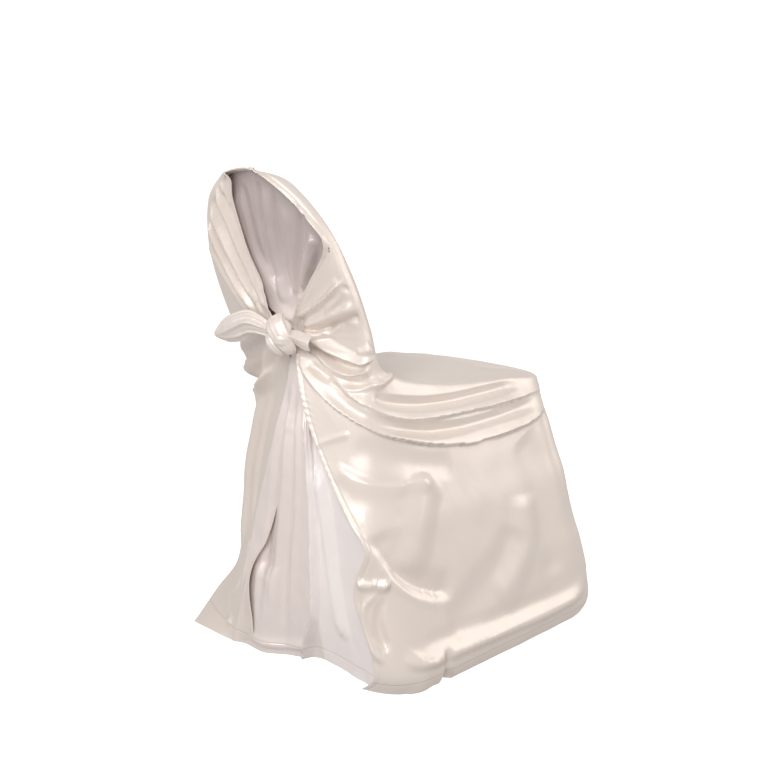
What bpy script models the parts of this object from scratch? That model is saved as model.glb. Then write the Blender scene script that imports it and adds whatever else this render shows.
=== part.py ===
"""A satin chair cover with its sash, hanging as it does over a chair that is left out.

The cover is one hollow sheet with an open bottom and an open back: a hood over the chair's back,
the seat, and a skirt down to the floor. A back panel hangs inside the open back from the top of
the hood to the floor, and the sash draws all of it together in a knot behind the chair's back.
Each sheet is a loft through unlike sections, given its wall by Solidify. Lengths are in metres,
Z is up, the seat's front faces -Y, and +X is the sitter's left.
"""
import math

import bpy
import numpy as np

# Sizes of the hidden chair that the cloth is fitted to
TOP_HEIGHT = 0.846
BACK_SHOULDER_HEIGHT = 0.620
BACK_HALF_WIDTH = 0.184
BACK_DEPTH = 0.034
BACK_REAR_Y = 0.246
BACK_REAR_Y_HEIGHT = 0.600
BACK_RECLINE = 0.3917
ARCH_POWER = 2.2
FACE_INSET = 0.07
FACE_BULGE = 0.002

# The cloth, and the air left between pieces
COVER_WALL = 0.0016
PANEL_WALL = 0.0016
TAIL_WALL = 0.0018

# A wing narrower than this draws its corner and side wall forward, by these shares of the depth
NARROW_WING = 0.050
CORNER_SLIDE = 0.35
SIDE_PLACE = 0.50
SIDE_SLIDE = 0.20

# The seat sits a little behind the middle of the skirt: this brings the middle to the origin
MIDDLE_SHIFT = (0.001, -0.0085, 0.0)

# Where the knot is tied, behind the chair's back, and its size
KNOT = (-0.024, 0.2800, 0.572)
KNOT_HALF_WIDTH = 0.0245
KNOT_HALF_DEPTH = 0.020
KNOT_HALF_HEIGHT = 0.031
KNOT_BANDS = 3
KNOT_BAND_SLANT = 4
KNOT_BAND_RISE = 0.10
KNOT_TILT = 0.05
KNOT_RINGS = 12
KNOT_AROUND = 18

COVER_COLOUR = (0.76, 0.70, 0.65, 1.0)
PANEL_COLOUR = (0.70, 0.64, 0.60, 1.0)
SASH_COLOUR = (0.80, 0.75, 0.70, 1.0)


# Skirt and seat sections from the floor up. "rows" is how many mesh rows follow the section.
# The right and left edges are the two free edges at the back; a corner is a rear corner of the
# skirt; the side and front columns are shared by both sides, since the seat is symmetric, but for
# the left tuck, by which the cloth is drawn in on the left where the seat meets the back.
SKIRT_COLUMNS = ("rows",
                 "right_x", "right_y", "right_z", "corner_x", "corner_y", "corner_z",
                 "side_x", "side_y", "side_z", "front_x", "front_y", "front_z", "middle_y", "middle_z",
                 "left_corner_x", "left_corner_y", "left_corner_z", "left_x", "left_y", "left_z", "left_tuck")
SKIRT_SECTIONS = {
    "floor": (2, -0.215, 0.272, 0.000, -0.288, 0.246, 0.000,
              -0.290, -0.02, 0.000, -0.280, -0.306, 0.000, -0.320, 0.000,
              0.226, 0.322, 0.000, 0.084, 0.318, 0.000, 0.000),
    "hem bend": (2, -0.250, 0.277, 0.034, -0.300, 0.244, 0.032,
                 -0.300, -0.02, 0.032, -0.292, -0.314, 0.032, -0.330, 0.032,
                 0.266, 0.240, 0.032, 0.082, 0.312, 0.034, 0.000),
    "ankle": (2, -0.241, 0.280, 0.085, -0.288, 0.248, 0.085,
              -0.292, -0.02, 0.090, -0.285, -0.308, 0.090, -0.322, 0.090,
              0.250, 0.194, 0.085, 0.080, 0.298, 0.085, 0.000),
    "shin": (2, -0.211, 0.283, 0.150, -0.276, 0.252, 0.148,
             -0.283, -0.02, 0.148, -0.275, -0.294, 0.150, -0.309, 0.150,
             0.232, 0.190, 0.150, 0.066, 0.280, 0.150, 0.000),
    "calf": (2, -0.214, 0.284, 0.192, -0.267, 0.254, 0.190,
             -0.275, -0.02, 0.190, -0.266, -0.283, 0.190, -0.298, 0.190,
             0.226, 0.189, 0.190, 0.050, 0.268, 0.190, 0.000),
    "under knee": (2, -0.234, 0.281, 0.245, -0.257, 0.254, 0.238,
                   -0.265, -0.01, 0.236, -0.259, -0.272, 0.240, -0.285, 0.240,
                   0.220, 0.188, 0.240, 0.038, 0.260, 0.240, 0.000),
    "knee": (2, -0.199, 0.283, 0.286, -0.250, 0.254, 0.282,
             -0.257, -0.01, 0.278, -0.251, -0.261, 0.290, -0.272, 0.290,
             0.216, 0.188, 0.290, 0.028, 0.254, 0.290, 0.000),
    "thigh": (3, -0.153, 0.283, 0.343, -0.240, 0.252, 0.326,
              -0.248, 0.00, 0.316, -0.241, -0.247, 0.336, -0.256, 0.338,
              0.206, 0.187, 0.340, 0.014, 0.248, 0.345, 0.000),
    "swag": (5, -0.108, 0.281, 0.407, -0.229, 0.248, 0.374,
             -0.240, 0.00, 0.354, -0.232, -0.235, 0.382, -0.241, 0.386,
             0.192, 0.187, 0.388, 0.000, 0.244, 0.404, 0.000),
    "below seat": (4, -0.074, 0.277, 0.470, -0.217, 0.242, 0.436,
                   -0.226, 0.00, 0.412, -0.222, -0.226, 0.430, -0.229, 0.436,
                   0.180, 0.190, 0.440, -0.014, 0.240, 0.466, 0.000),
    "seat side": (3, -0.052, 0.268, 0.526, -0.210, 0.232, 0.478,
                  -0.213, 0.00, 0.452, -0.216, -0.222, 0.457, -0.222, 0.468,
                  0.199, 0.204, 0.486, -0.004, 0.243, 0.522, 0.000),
    "seat rim": (2, -0.044, 0.263, 0.546, -0.206, 0.228, 0.502,
                 -0.199, 0.01, 0.477, -0.209, -0.206, 0.473, -0.210, 0.482,
                 0.197, 0.206, 0.498, 0.002, 0.246, 0.545, 0.006),
    "seat": (2, -0.036, 0.260, 0.560, -0.202, 0.228, 0.524,
             -0.185, 0.085, 0.482, -0.180, -0.100, 0.482, -0.110, 0.488,
             0.197, 0.211, 0.510, 0.006, 0.248, 0.560, 0.013),
    "seat back": (2, -0.032, 0.259, 0.568, -0.202, 0.230, 0.542,
                  -0.183, 0.155, 0.487, -0.175, 0.060, 0.483, 0.060, 0.487,
                  0.194, 0.219, 0.525, 0.009, 0.249, 0.568, 0.016),
    "back foot": (2, -0.030, 0.258, 0.575, -0.200, 0.234, 0.560,
                  -0.186, 0.196, 0.518, -0.174, 0.170, 0.490, 0.164, 0.486,
                  0.184, 0.225, 0.548, 0.014, 0.250, 0.576, 0.016),
}

# Hood sections, from the knot up. Heights are those of the side, the wings' free edges hang lower.
HOOD_COLUMNS = ("rows", "side_z", "right_x", "right_z", "left_x", "left_z", "stand")
HOOD_SECTIONS = {
    "waist": (2, 0.590, -0.028, 0.588, 0.024, 0.586, 0.014),
    "gather": (3, 0.640, -0.045, 0.618, 0.036, 0.614, 0.010),
    "wing": (2, 0.684, -0.100, 0.668, 0.044, 0.666, 0.004),
    "shoulder": (2, 0.730, -0.160, 0.725, 0.048, 0.715, 0.002),
    "arch": (2, 0.772, -0.133, 0.770, 0.048, 0.764, 0.001),
    "crown": (2, 0.804, -0.102, 0.802, 0.044, 0.800, 0.001),
    "brow": (2, 0.830, -0.064, 0.828, 0.032, 0.826, 0.001),
}

# The crest of the hood, right edge to left: place across, place behind the rear face, and drop
CREST = (
    (-0.034, 0.000, 0.0030), (-0.031, -0.001, 0.0025), (-0.027, -0.002, 0.0020), (-0.021, -0.003, 0.0012),
    (-0.012, -0.004, 0.0004), (0.000, -0.004, 0.0000), (0.012, -0.004, 0.0004), (0.026, -0.004, 0.0014),
    (0.044, -0.003, 0.0050), (0.041, 0.001, 0.0070), (0.034, 0.003, 0.0090),
)

# Folds pressed into the cover: width and height of the crease, then the points it passes through.
# A positive height is a ridge standing out from the cloth, a negative one a trough.
COVER_FOLDS = {
    "long swag, lower": (0.026, 0.014, (
        (-0.045, 0.266, 0.545), (-0.115, 0.268, 0.486), (-0.180, 0.258, 0.448), (-0.228, 0.205, 0.424),
        (-0.236, 0.110, 0.393), (-0.236, 0.023, 0.384), (-0.226, -0.145, 0.406))),
    "long swag, hollow": (0.022, -0.010, (
        (-0.055, 0.266, 0.556), (-0.140, 0.262, 0.510), (-0.205, 0.232, 0.462), (-0.226, 0.150, 0.424),
        (-0.228, 0.020, 0.411), (-0.218, -0.150, 0.428))),
    "long swag, upper": (0.018, 0.008, (
        (-0.120, 0.255, 0.535), (-0.190, 0.240, 0.486), (-0.218, 0.190, 0.450), (-0.221, 0.096, 0.437),
        (-0.221, 0.019, 0.436), (-0.212, -0.159, 0.447))),
    "knot swag": (0.018, 0.014, (
        (-0.040, 0.262, 0.562), (-0.085, 0.258, 0.548), (-0.135, 0.250, 0.532), (-0.185, 0.240, 0.530),
        (-0.208, 0.225, 0.552))),
    "knot swag, hollow": (0.014, -0.010, (
        (-0.040, 0.262, 0.574), (-0.090, 0.254, 0.569), (-0.140, 0.247, 0.556), (-0.184, 0.236, 0.556))),
    "side dent": (0.060, -0.014, (
        (-0.262, 0.262, 0.250), (-0.266, 0.215, 0.180), (-0.268, 0.120, 0.150))),
    "side facet": (0.055, 0.010, (
        (-0.236, 0.240, 0.330), (-0.248, 0.165, 0.322))),
    "rear pleat": (0.032, 0.010, (
        (-0.236, 0.275, 0.205), (-0.264, 0.268, 0.110), (-0.282, 0.262, 0.040))),
    "left wing pleat, inner": (0.014, 0.006, (
        (0.085, 0.330, 0.812), (0.076, 0.312, 0.766), (0.050, 0.272, 0.667), (0.034, 0.252, 0.610))),
    "left wing pleat, middle": (0.014, 0.007, (
        (0.119, 0.316, 0.778), (0.110, 0.294, 0.721), (0.083, 0.268, 0.653), (0.044, 0.252, 0.602))),
    "left wing pleat, outer": (0.016, 0.007, (
        (0.146, 0.304, 0.745), (0.138, 0.282, 0.690), (0.106, 0.258, 0.625), (0.054, 0.252, 0.594))),
    "right wing crease": (0.014, 0.008, (
        (-0.180, 0.276, 0.672), (-0.136, 0.270, 0.650), (-0.088, 0.264, 0.622), (-0.052, 0.258, 0.600))),
    "right wing hollow": (0.016, -0.007, (
        (-0.186, 0.262, 0.646), (-0.135, 0.260, 0.624), (-0.075, 0.256, 0.602))),
    "right wing fold": (0.016, 0.010, (
        (-0.186, 0.250, 0.618), (-0.130, 0.252, 0.602), (-0.060, 0.256, 0.586))),
    "corner puff": (0.036, 0.012, (
        (-0.160, 0.240, 0.556), (-0.192, 0.230, 0.572), (-0.198, 0.208, 0.566))),
    "left flare fold": (0.032, 0.012, (
        (0.120, 0.262, 0.160), (0.150, 0.290, 0.060), (0.165, 0.318, 0.010))),
    "left drape": (0.030, 0.010, (
        (0.030, 0.254, 0.520), (0.070, 0.240, 0.400), (0.090, 0.244, 0.250))),
}

# How many mesh columns lie between neighbouring stations around the cover, right edge to left edge
COVER_SPANS = (6, 5, 5, 5, 3, 3, 3, 3, 4, 3)
COVER_ROUNDING = 0.30
COVER_GATHERED = 0.60
ROUNDING_SAMPLES = 9

# A fold's line is read at this many places to each of its points. It fades over this share of its
# length at each end, down to a share of its full height.
FOLD_PLACES = 12
FOLD_FADE = 0.15
FOLD_END_HEIGHT = 0.25


def back_rear_y(height):
    """The rear face of the chair's back leans away in a straight line as it rises."""
    return BACK_REAR_Y + BACK_RECLINE * (height - BACK_REAR_Y_HEIGHT)


def back_half_width(height):
    """The chair's back has straight sides and, above its shoulders, a flattened elliptic arch."""
    rise = max(0.0, (height - BACK_SHOULDER_HEIGHT) / (TOP_HEIGHT - BACK_SHOULDER_HEIGHT))
    return BACK_HALF_WIDTH * math.sqrt(max(0.0, 1.0 - rise ** ARCH_POWER))


def skirt_stations(section):
    """The eleven stations of a skirt or seat section, in order from the right edge to the left."""
    at = dict(zip(SKIRT_COLUMNS, section))
    right = np.array((at["right_x"], at["right_y"], at["right_z"]))
    corner = np.array((at["corner_x"], at["corner_y"], at["corner_z"]))
    side = np.array((at["side_x"], at["side_y"], at["side_z"]))
    front = np.array((at["front_x"], at["front_y"], at["front_z"]))
    middle = np.array((0.0, at["middle_y"], at["middle_z"]))
    left_corner = np.array((at["left_corner_x"], at["left_corner_y"], at["left_corner_z"]))
    left = np.array((at["left_x"], at["left_y"], at["left_z"]))
    mirror = np.array((-1.0, 1.0, 1.0))
    tuck = np.array((at["left_tuck"], 0.0, 0.0))
    return np.array((right, (right + corner) / 2, corner, side, front, middle,
                     front * mirror - tuck, side * mirror - tuck, left_corner,
                     (left_corner + left) / 2, left))


def hood_stations(section):
    """A hood section wraps the chair's back: wing, side wall, front face, side wall, wing."""
    at = dict(zip(HOOD_COLUMNS, section))
    height = at["side_z"]
    half = back_half_width(height)
    rear = back_rear_y(height)
    mirror = np.array((-1.0, 1.0, 1.0))
    face = np.array((-half * (1 - FACE_INSET), rear - BACK_DEPTH, height))
    middle = np.array((0.0, rear - BACK_DEPTH - FACE_BULGE, height))

    def wing(edge_x, edge_z):
        """Where a wing is narrower than the rim, its corner and side slide forward along the wall."""
        edge = np.array((edge_x, back_rear_y(edge_z) + at["stand"], edge_z))
        slide = np.clip(1 - (half - abs(edge_x)) / NARROW_WING, 0, 1)
        corner = np.array((-half, rear - BACK_DEPTH * CORNER_SLIDE * slide, height))
        side = np.array((-half, rear - BACK_DEPTH * (SIDE_PLACE + SIDE_SLIDE * slide), height))
        return edge, corner, side

    right, corner, side = wing(at["right_x"], at["right_z"])
    left, left_corner, left_side = wing(at["left_x"], at["left_z"])
    left_corner, left_side = left_corner * mirror, left_side * mirror
    return np.array((right, (right + corner) / 2, corner, side, face, middle,
                     face * mirror, left_side, left_corner, (left_corner + left) / 2, left))


def crest_stations():
    """The last section is the short line where the hood's roof meets its open back."""
    across, back, drop = np.array(CREST).T
    return np.stack((across, back_rear_y(TOP_HEIGHT) + back, TOP_HEIGHT - drop), 1)


def through_points(points, where):
    """Catmull-Rom curve through points, read at positions counted in points from the first."""
    points = np.asarray(points, float)
    last = len(points) - 1
    start = np.clip(np.floor(where).astype(int), 0, last - 1)
    part = (where - start).reshape((-1,) + (1,) * (points.ndim - 1))
    before, here = points[np.maximum(start - 1, 0)], points[start]
    there, after = points[start + 1], points[np.minimum(start + 2, last)]
    return 0.5 * (2 * here + (there - before) * part
                  + (2 * before - 5 * here + 4 * there - after) * part ** 2
                  + (3 * here - before - 3 * there + after) * part ** 3)


def rounded_between(stations, where, reach):
    """Straight runs between stations with their corners rounded: the mean of the straight-sided
    line over a short reach on each side, which is narrowed at the two ends."""
    last = stations.shape[1] - 1
    knots = np.arange(last + 1)
    offsets = np.linspace(-1.0, 1.0, ROUNDING_SAMPLES)
    narrowed = np.minimum(reach, np.minimum(where, last - where))
    total = 0.0
    for offset in offsets:
        places = where + offset * narrowed
        start = np.clip(np.floor(places).astype(int), 0, last - 1)
        part = (places - knots[start])[None, :, None]
        total = total + stations[:, start] * (1 - part) + stations[:, start + 1] * part
    return total / len(offsets)


def positions(spans, gathered=0.0):
    """Places counted in sections, a number of steps to each span, drawn towards the span's ends by
    a sine so that more of them lie where the corners are rounded."""
    places = []
    for index, steps in enumerate(spans):
        part = np.arange(steps) / steps
        places.append(index + part - gathered * np.sin(2 * np.pi * part) / (2 * np.pi))
    return np.append(np.concatenate(places), len(spans))


def grid_normals(grid):
    """Unit normals from the cross product of the grid's two directions."""
    along = np.gradient(grid, axis=0)
    across = np.gradient(grid, axis=1)
    normal = np.cross(across, along)
    return normal / np.maximum(np.linalg.norm(normal, axis=-1, keepdims=True), 1e-9)


def press_folds(grid, folds, outward):
    """Each fold lifts the cloth along its normal by height * (1 - (d / width)^2)^2, where d is the
    distance to the fold's line, and fades out towards the line's two ends."""
    normal = grid_normals(grid) * outward
    lift = np.zeros(grid.shape[:2])
    for width, height, points in folds.values():
        steps = np.linspace(0, len(points) - 1, FOLD_PLACES * len(points))
        line = through_points(points, steps)
        gaps = np.linalg.norm(grid[:, :, None, :] - line[None, None], axis=-1)
        nearest = gaps.min(axis=-1)
        share = steps[gaps.argmin(axis=-1)] / (len(points) - 1)
        fade = np.clip(np.minimum(share, 1 - share) / FOLD_FADE, FOLD_END_HEIGHT, 1.0)
        lift += height * fade * np.clip(1 - (nearest / width) ** 2, 0, 1) ** 2
    return grid + normal * lift[..., None]


def stand_on_floor(grid, wall):
    """The hem touches the floor. Where the cloth lies flat its wall is under it, so the outer face
    is kept above the floor by the wall times the upward share of the normal."""
    lying = wall * np.abs(grid_normals(grid)[..., 2])
    grid[..., 2] = np.maximum(grid[..., 2], lying)
    grid[0, :, 2] = lying[0]
    return grid


def cover_grid():
    """The outer face of the cover as a grid: rows from the hem up, columns around from the right edge."""
    stations = [skirt_stations(section) for section in SKIRT_SECTIONS.values()]
    stations += [hood_stations(section) for section in HOOD_SECTIONS.values()]
    stations.append(crest_stations())
    steps = [section[0] for section in SKIRT_SECTIONS.values()]
    steps += [section[0] for section in HOOD_SECTIONS.values()]
    rows = through_points(np.array(stations), positions(steps))
    rows[..., 2] = np.maximum(rows[..., 2], 0.0)
    grid = rounded_between(rows, positions(COVER_SPANS, COVER_GATHERED), COVER_ROUNDING)
    grid = press_folds(grid, COVER_FOLDS, 1.0)
    return stand_on_floor(grid, COVER_WALL)


# The back panel's sections from the floor up: its left edge, the fold where it turns under, the
# hollow behind that fold, and its right edge, which lies under the cover's stitched edge.
PANEL_COLUMNS = ("rows", "height", "left_x", "left_y", "fold_x", "fold_y", "hollow_x", "hollow_y",
                 "right_x", "right_y")
PANEL_STATIONS = ("left", "fold", "hollow", "right")
PANEL_SECTIONS = {
    "floor": (3, 0.000, 0.070, 0.311, -0.056, 0.272, -0.074, 0.240, -0.232, 0.256),
    "low": (3, 0.110, 0.068, 0.300, -0.088, 0.274, -0.104, 0.252, -0.238, 0.262),
    "middle": (3, 0.230, 0.056, 0.284, -0.090, 0.274, -0.106, 0.258, -0.226, 0.266),
    "upper": (3, 0.380, 0.014, 0.272, -0.082, 0.272, -0.092, 0.262, -0.146, 0.264),
    "under knot": (3, 0.500, -0.010, 0.253, -0.052, 0.257, -0.062, 0.254, -0.080, 0.253),
    "knot": (2, 0.575, -0.008, 0.246, -0.020, 0.2475, -0.030, 0.2475, -0.040, 0.2465),
    "above knot": (3, 0.630, 0.062, 0.246, -0.006, 0.244, -0.050, 0.244, -0.080, 0.247),
    "inside hood": (2, 0.720, 0.128, 0.281, 0.030, 0.277, -0.056, 0.277, -0.146, 0.281),
    "high": (2, 0.790, 0.100, 0.306, 0.025, 0.305, -0.045, 0.305, -0.108, 0.307),
    "top": (0, 0.8375, 0.028, 0.3250, 0.008, 0.3256, -0.012, 0.3256, -0.032, 0.3250),
}
PANEL_SPANS = (6, 3, 6)
PANEL_ROUNDING = 0.4
PANEL_FOLDS = {
    "left of middle": (0.016, 0.004, (
        (-0.030, 0.332, 0.830), (-0.018, 0.310, 0.786), (0.000, 0.280, 0.720), (-0.018, 0.245, 0.620))),
    "right of middle": (0.016, 0.004, (
        (-0.060, 0.330, 0.815), (-0.048, 0.304, 0.766), (-0.036, 0.272, 0.700), (-0.028, 0.245, 0.620))),
    "panel ridge": (0.022, 0.004, (
        (-0.020, 0.262, 0.500), (-0.026, 0.280, 0.300), (0.000, 0.290, 0.050))),
}


def panel_stations(section):
    """The four stations of a panel section, all at one height."""
    at = dict(zip(PANEL_COLUMNS, section))
    return [(at[name + "_x"], at[name + "_y"], at["height"]) for name in PANEL_STATIONS]


def panel_grid():
    """The back panel as a grid: rows from the floor up, columns from its left edge to its right."""
    sections = list(PANEL_SECTIONS.values())
    steps = [section[0] for section in sections[:-1]]
    rows = through_points([panel_stations(section) for section in sections], positions(steps))
    grid = rounded_between(rows, positions(PANEL_SPANS), PANEL_ROUNDING)
    return stand_on_floor(press_folds(grid, PANEL_FOLDS, -1.0), PANEL_WALL / 2)


# A tail is a strip along a line: at each place a width, how far its edges curl, and its turn
TAIL_COLUMNS = ("x", "y", "z", "width", "curl", "turn_degrees")
LEFT_TAIL = (
    (0.0036, 0.281, 0.574, 0.022, 0.006, 0),
    (0.045, 0.296, 0.586, 0.042, 0.012, -8),
    (0.080, 0.302, 0.576, 0.052, 0.010, -14),
    (0.112, 0.304, 0.566, 0.042, 0.007, -20),
    (0.134, 0.305, 0.561, 0.010, 0.002, -24),
)
RIGHT_TAIL = (
    (-0.0472, 0.282, 0.573, 0.018, 0.005, 0),
    (-0.072, 0.289, 0.572, 0.024, 0.008, 4),
    (-0.094, 0.291, 0.568, 0.026, 0.008, 8),
    (-0.112, 0.291, 0.567, 0.020, 0.005, 12),
)
TAIL_POINTS_ALONG = 11
TAIL_POINTS_ACROSS = 5


def tail_grid(stations):
    """A tail runs along its line; across it the cloth is an arc that curls away from the viewer."""
    line = through_points(stations, np.linspace(0, len(stations) - 1, TAIL_POINTS_ALONG))
    at = {name: values[:, None] for name, values in zip(TAIL_COLUMNS, line.T)}
    across = np.linspace(-1.0, 1.0, TAIL_POINTS_ACROSS)
    turn = np.radians(at["turn_degrees"])
    up = across * at["width"] / 2
    out = -at["curl"] * across ** 2
    x = np.broadcast_to(at["x"], up.shape)
    y = at["y"] + out * np.cos(turn) - up * np.sin(turn)
    z = at["z"] + up * np.cos(turn) + out * np.sin(turn)
    return np.stack((x, y, z), -1)


def knot_points():
    """A knot is an egg standing upright, wound by soft bands that cross it aslant."""
    polar = np.linspace(0, np.pi, KNOT_RINGS + 1)[1:-1, None]
    turn = np.linspace(0, 2 * np.pi, KNOT_AROUND, endpoint=False)[None, :]
    bands = np.cos(KNOT_BANDS * turn + KNOT_BAND_SLANT * polar)
    swell = 1 + KNOT_BAND_RISE * bands * np.sin(polar) ** 2
    x = KNOT_HALF_WIDTH * swell * np.sin(polar) * np.cos(turn)
    y = KNOT_HALF_DEPTH * swell * np.sin(polar) * np.sin(turn)
    z = KNOT_HALF_HEIGHT * (1 + KNOT_TILT * np.cos(2 * turn)) * np.cos(polar)
    return np.stack((x, y, z), -1)


def new_material(name, colour, roughness):
    material = bpy.data.materials.new(name)
    material.use_nodes = True
    shader = material.node_tree.nodes["Principled BSDF"]
    shader.inputs["Base Color"].default_value = colour
    shader.inputs["Roughness"].default_value = roughness
    shader.inputs["Metallic"].default_value = 0.0
    return material


def new_object(name, vertices, faces, material, collection):
    mesh = bpy.data.meshes.new(name)
    mesh.from_pydata(vertices.tolist(), [], faces)
    mesh.validate()
    mesh.shade_smooth()
    mesh.materials.append(material)
    made = bpy.data.objects.new(name, mesh)
    collection.objects.link(made)
    return made


def grid_faces(rows, columns):
    """Four-sided faces between neighbouring rows and columns."""
    corner = np.arange(rows * columns).reshape(rows, columns)
    faces = np.stack((corner[:-1, :-1], corner[:-1, 1:], corner[1:, 1:], corner[1:, :-1]), -1)
    return faces.reshape(-1, 4).tolist()


def make_sheet(name, grid, wall, inner_side, material, collection):
    """A grid of points made a closed sheet, with its wall on the named side of the grid."""
    rows, columns = grid.shape[:2]
    made = new_object(name, grid.reshape(-1, 3), grid_faces(rows, columns), material, collection)
    solid = made.modifiers.new("Wall", "SOLIDIFY")
    solid.thickness = wall
    solid.offset = inner_side
    solid.use_even_offset = False
    made.location = MIDDLE_SHIFT
    return made


def make_knot(name, material, collection):
    points = knot_points()
    rings, around = points.shape[:2]
    vertices = np.concatenate((points.reshape(-1, 3), ((0, 0, KNOT_HALF_HEIGHT), (0, 0, -KNOT_HALF_HEIGHT))))
    top, bottom = rings * around, rings * around + 1
    faces = []
    for step in range(around):
        after = (step + 1) % around
        faces.append((top, step, after))
        last = (rings - 1) * around
        faces.append((bottom, last + after, last + step))
        for ring in range(rings - 1):
            here, there = ring * around, (ring + 1) * around
            faces.append((here + step, there + step, there + after, here + after))
    made = new_object(name, vertices, faces, material, collection)
    made.location = tuple(place + shift for place, shift in zip(KNOT, MIDDLE_SHIFT))
    return made


def main():
    for old in list(bpy.data.objects):
        bpy.data.objects.remove(old)
    collection = bpy.data.collections.new("Chair cover with sash")
    bpy.context.scene.collection.children.link(collection)
    cover_satin = new_material("cover satin", COVER_COLOUR, 0.35)
    panel_satin = new_material("panel satin", PANEL_COLOUR, 0.45)
    sash_satin = new_material("sash satin", SASH_COLOUR, 0.32)

    make_sheet("cover", cover_grid(), COVER_WALL, -1.0, cover_satin, collection)
    make_sheet("back_panel", panel_grid(), PANEL_WALL, 0.0, panel_satin, collection)
    make_knot("sash_knot", sash_satin, collection)
    make_sheet("sash_tail_left", tail_grid(LEFT_TAIL), TAIL_WALL, 0.0, sash_satin, collection)
    make_sheet("sash_tail_right", tail_grid(RIGHT_TAIL), TAIL_WALL, 0.0, sash_satin, collection)


main()
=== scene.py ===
# %% [markdown]
# # A satin chair cover with its sash
#
# The real thing is sewn from thin ivory satin: a hood, a seat and a skirt in one cloth, a loose panel
# behind, and a sash that pulls the open back together in a knot. Satin shows its shape through soft
# bands of light, so nearly all of the work here goes into folds: where each one runs, how sharp it
# is, and how it dies away. A cloth simulation wouldn't put the folds where the photograph has them, so
# they are given one by one, as lines on surfaces that numpy works out.

# %% Start from the imported solids
import math

import bpy
import numpy as np
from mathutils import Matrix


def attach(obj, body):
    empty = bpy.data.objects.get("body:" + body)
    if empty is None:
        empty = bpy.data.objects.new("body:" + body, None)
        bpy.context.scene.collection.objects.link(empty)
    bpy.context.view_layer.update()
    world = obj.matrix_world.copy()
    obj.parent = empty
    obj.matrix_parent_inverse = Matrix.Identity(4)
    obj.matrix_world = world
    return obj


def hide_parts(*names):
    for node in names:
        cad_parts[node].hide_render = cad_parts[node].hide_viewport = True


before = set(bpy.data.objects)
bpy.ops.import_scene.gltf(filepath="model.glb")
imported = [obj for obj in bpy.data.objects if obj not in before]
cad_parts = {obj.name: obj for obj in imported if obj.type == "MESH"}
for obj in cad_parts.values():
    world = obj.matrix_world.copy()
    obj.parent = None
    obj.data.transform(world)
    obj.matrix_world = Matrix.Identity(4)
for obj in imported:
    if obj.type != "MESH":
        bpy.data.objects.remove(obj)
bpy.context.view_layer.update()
print("solids:", sorted(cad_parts))

# %% [markdown]
# The camera stands behind the cover and to one side, a little above its seat. Its place, its two
# angles and its lens were worked out from the lines that the seat and the back draw through the
# cloth. The measures here were taken before the cover was centred over the origin, so every piece and
# the camera are moved by the same small shift at the end.

# %% Camera
MIDDLE_SHIFT = np.array((0.001, -0.0085, 0.0))
CAMERA_PLACE = (-1.3231, 1.2848, 0.7757)
CAMERA_TURN = -133.803
CAMERA_DIP = 9.9675
CAMERA_LENS = 45.834
SENSOR_WIDTH = 36.0


def add_camera():
    lens = bpy.data.cameras.new("camera")
    lens.lens = CAMERA_LENS
    lens.sensor_width = SENSOR_WIDTH
    made = bpy.data.objects.new("camera", lens)
    made.location = tuple(np.array(CAMERA_PLACE) + MIDDLE_SHIFT)
    made.rotation_euler = (math.radians(90 - CAMERA_DIP), 0.0, math.radians(CAMERA_TURN))
    bpy.context.scene.collection.objects.link(made)
    bpy.context.scene.camera = made
    return made


camera = add_camera()
print("camera at", tuple(round(place, 3) for place in camera.location))

# %% [markdown]
# A cloth is worked out as a grid of points: rows go up the cloth and columns go around it. Each row
# is drawn through a handful of named stations. Two small readers do all of the interpolation: one
# follows a smooth curve from section to section, the other runs straight from station to station
# with rounded corners, as cloth does when it is pulled over the corners of a seat.

# %% Curves through stations
ROUNDING_SAMPLES = 9
SHORTEST = 1e-9


def through_points(points, where):
    """Catmull-Rom curve: each span is a cubic whose slope at a point is half the step between its
    two neighbours. Positions are counted in points from the first."""
    points = np.asarray(points, float)
    last = len(points) - 1
    start = np.clip(np.floor(where).astype(int), 0, last - 1)
    part = (where - start).reshape((-1,) + (1,) * (points.ndim - 1))
    before, here = points[np.maximum(start - 1, 0)], points[start]
    there, after = points[start + 1], points[np.minimum(start + 2, last)]
    return 0.5 * (2 * here + (there - before) * part
                  + (2 * before - 5 * here + 4 * there - after) * part ** 2
                  + (3 * here - before - 3 * there + after) * part ** 3)


def rounded_between(stations, where, reach):
    """The mean of the straight-sided line over a short reach on each side of every place."""
    last = stations.shape[1] - 1
    narrowed = np.minimum(reach, np.minimum(where, last - where))
    total = 0.0
    for offset in np.linspace(-1.0, 1.0, ROUNDING_SAMPLES):
        places = where + offset * narrowed
        start = np.clip(np.floor(places).astype(int), 0, last - 1)
        part = (places - start)[None, :, None]
        total = total + stations[:, start] * (1 - part) + stations[:, start + 1] * part
    return total / ROUNDING_SAMPLES


def places(spans):
    """Evenly spaced places along a chain of spans, with the given number of steps in each."""
    steps = [index + np.arange(count) / count for index, count in enumerate(spans)]
    return np.append(np.concatenate(steps), len(spans))


def eased(share):
    """Slow, quick, slow: 3s^2 - 2s^3."""
    share = np.clip(share, 0.0, 1.0)
    return share * share * (3 - 2 * share)


def reach_along(grid, axis):
    """How far each point lies from the first one along its row or its column: a running sum."""
    steps = np.linalg.norm(np.diff(grid, axis=axis), axis=-1)
    return np.concatenate((np.zeros_like(steps.take([0], axis)), np.cumsum(steps, axis)), axis)


def normals_of(grid):
    """Outward unit normals: the step across crossed with the step along."""
    normal = np.cross(np.gradient(grid, axis=1), np.gradient(grid, axis=0))
    return normal / np.maximum(np.linalg.norm(normal, axis=-1, keepdims=True), SHORTEST)


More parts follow.
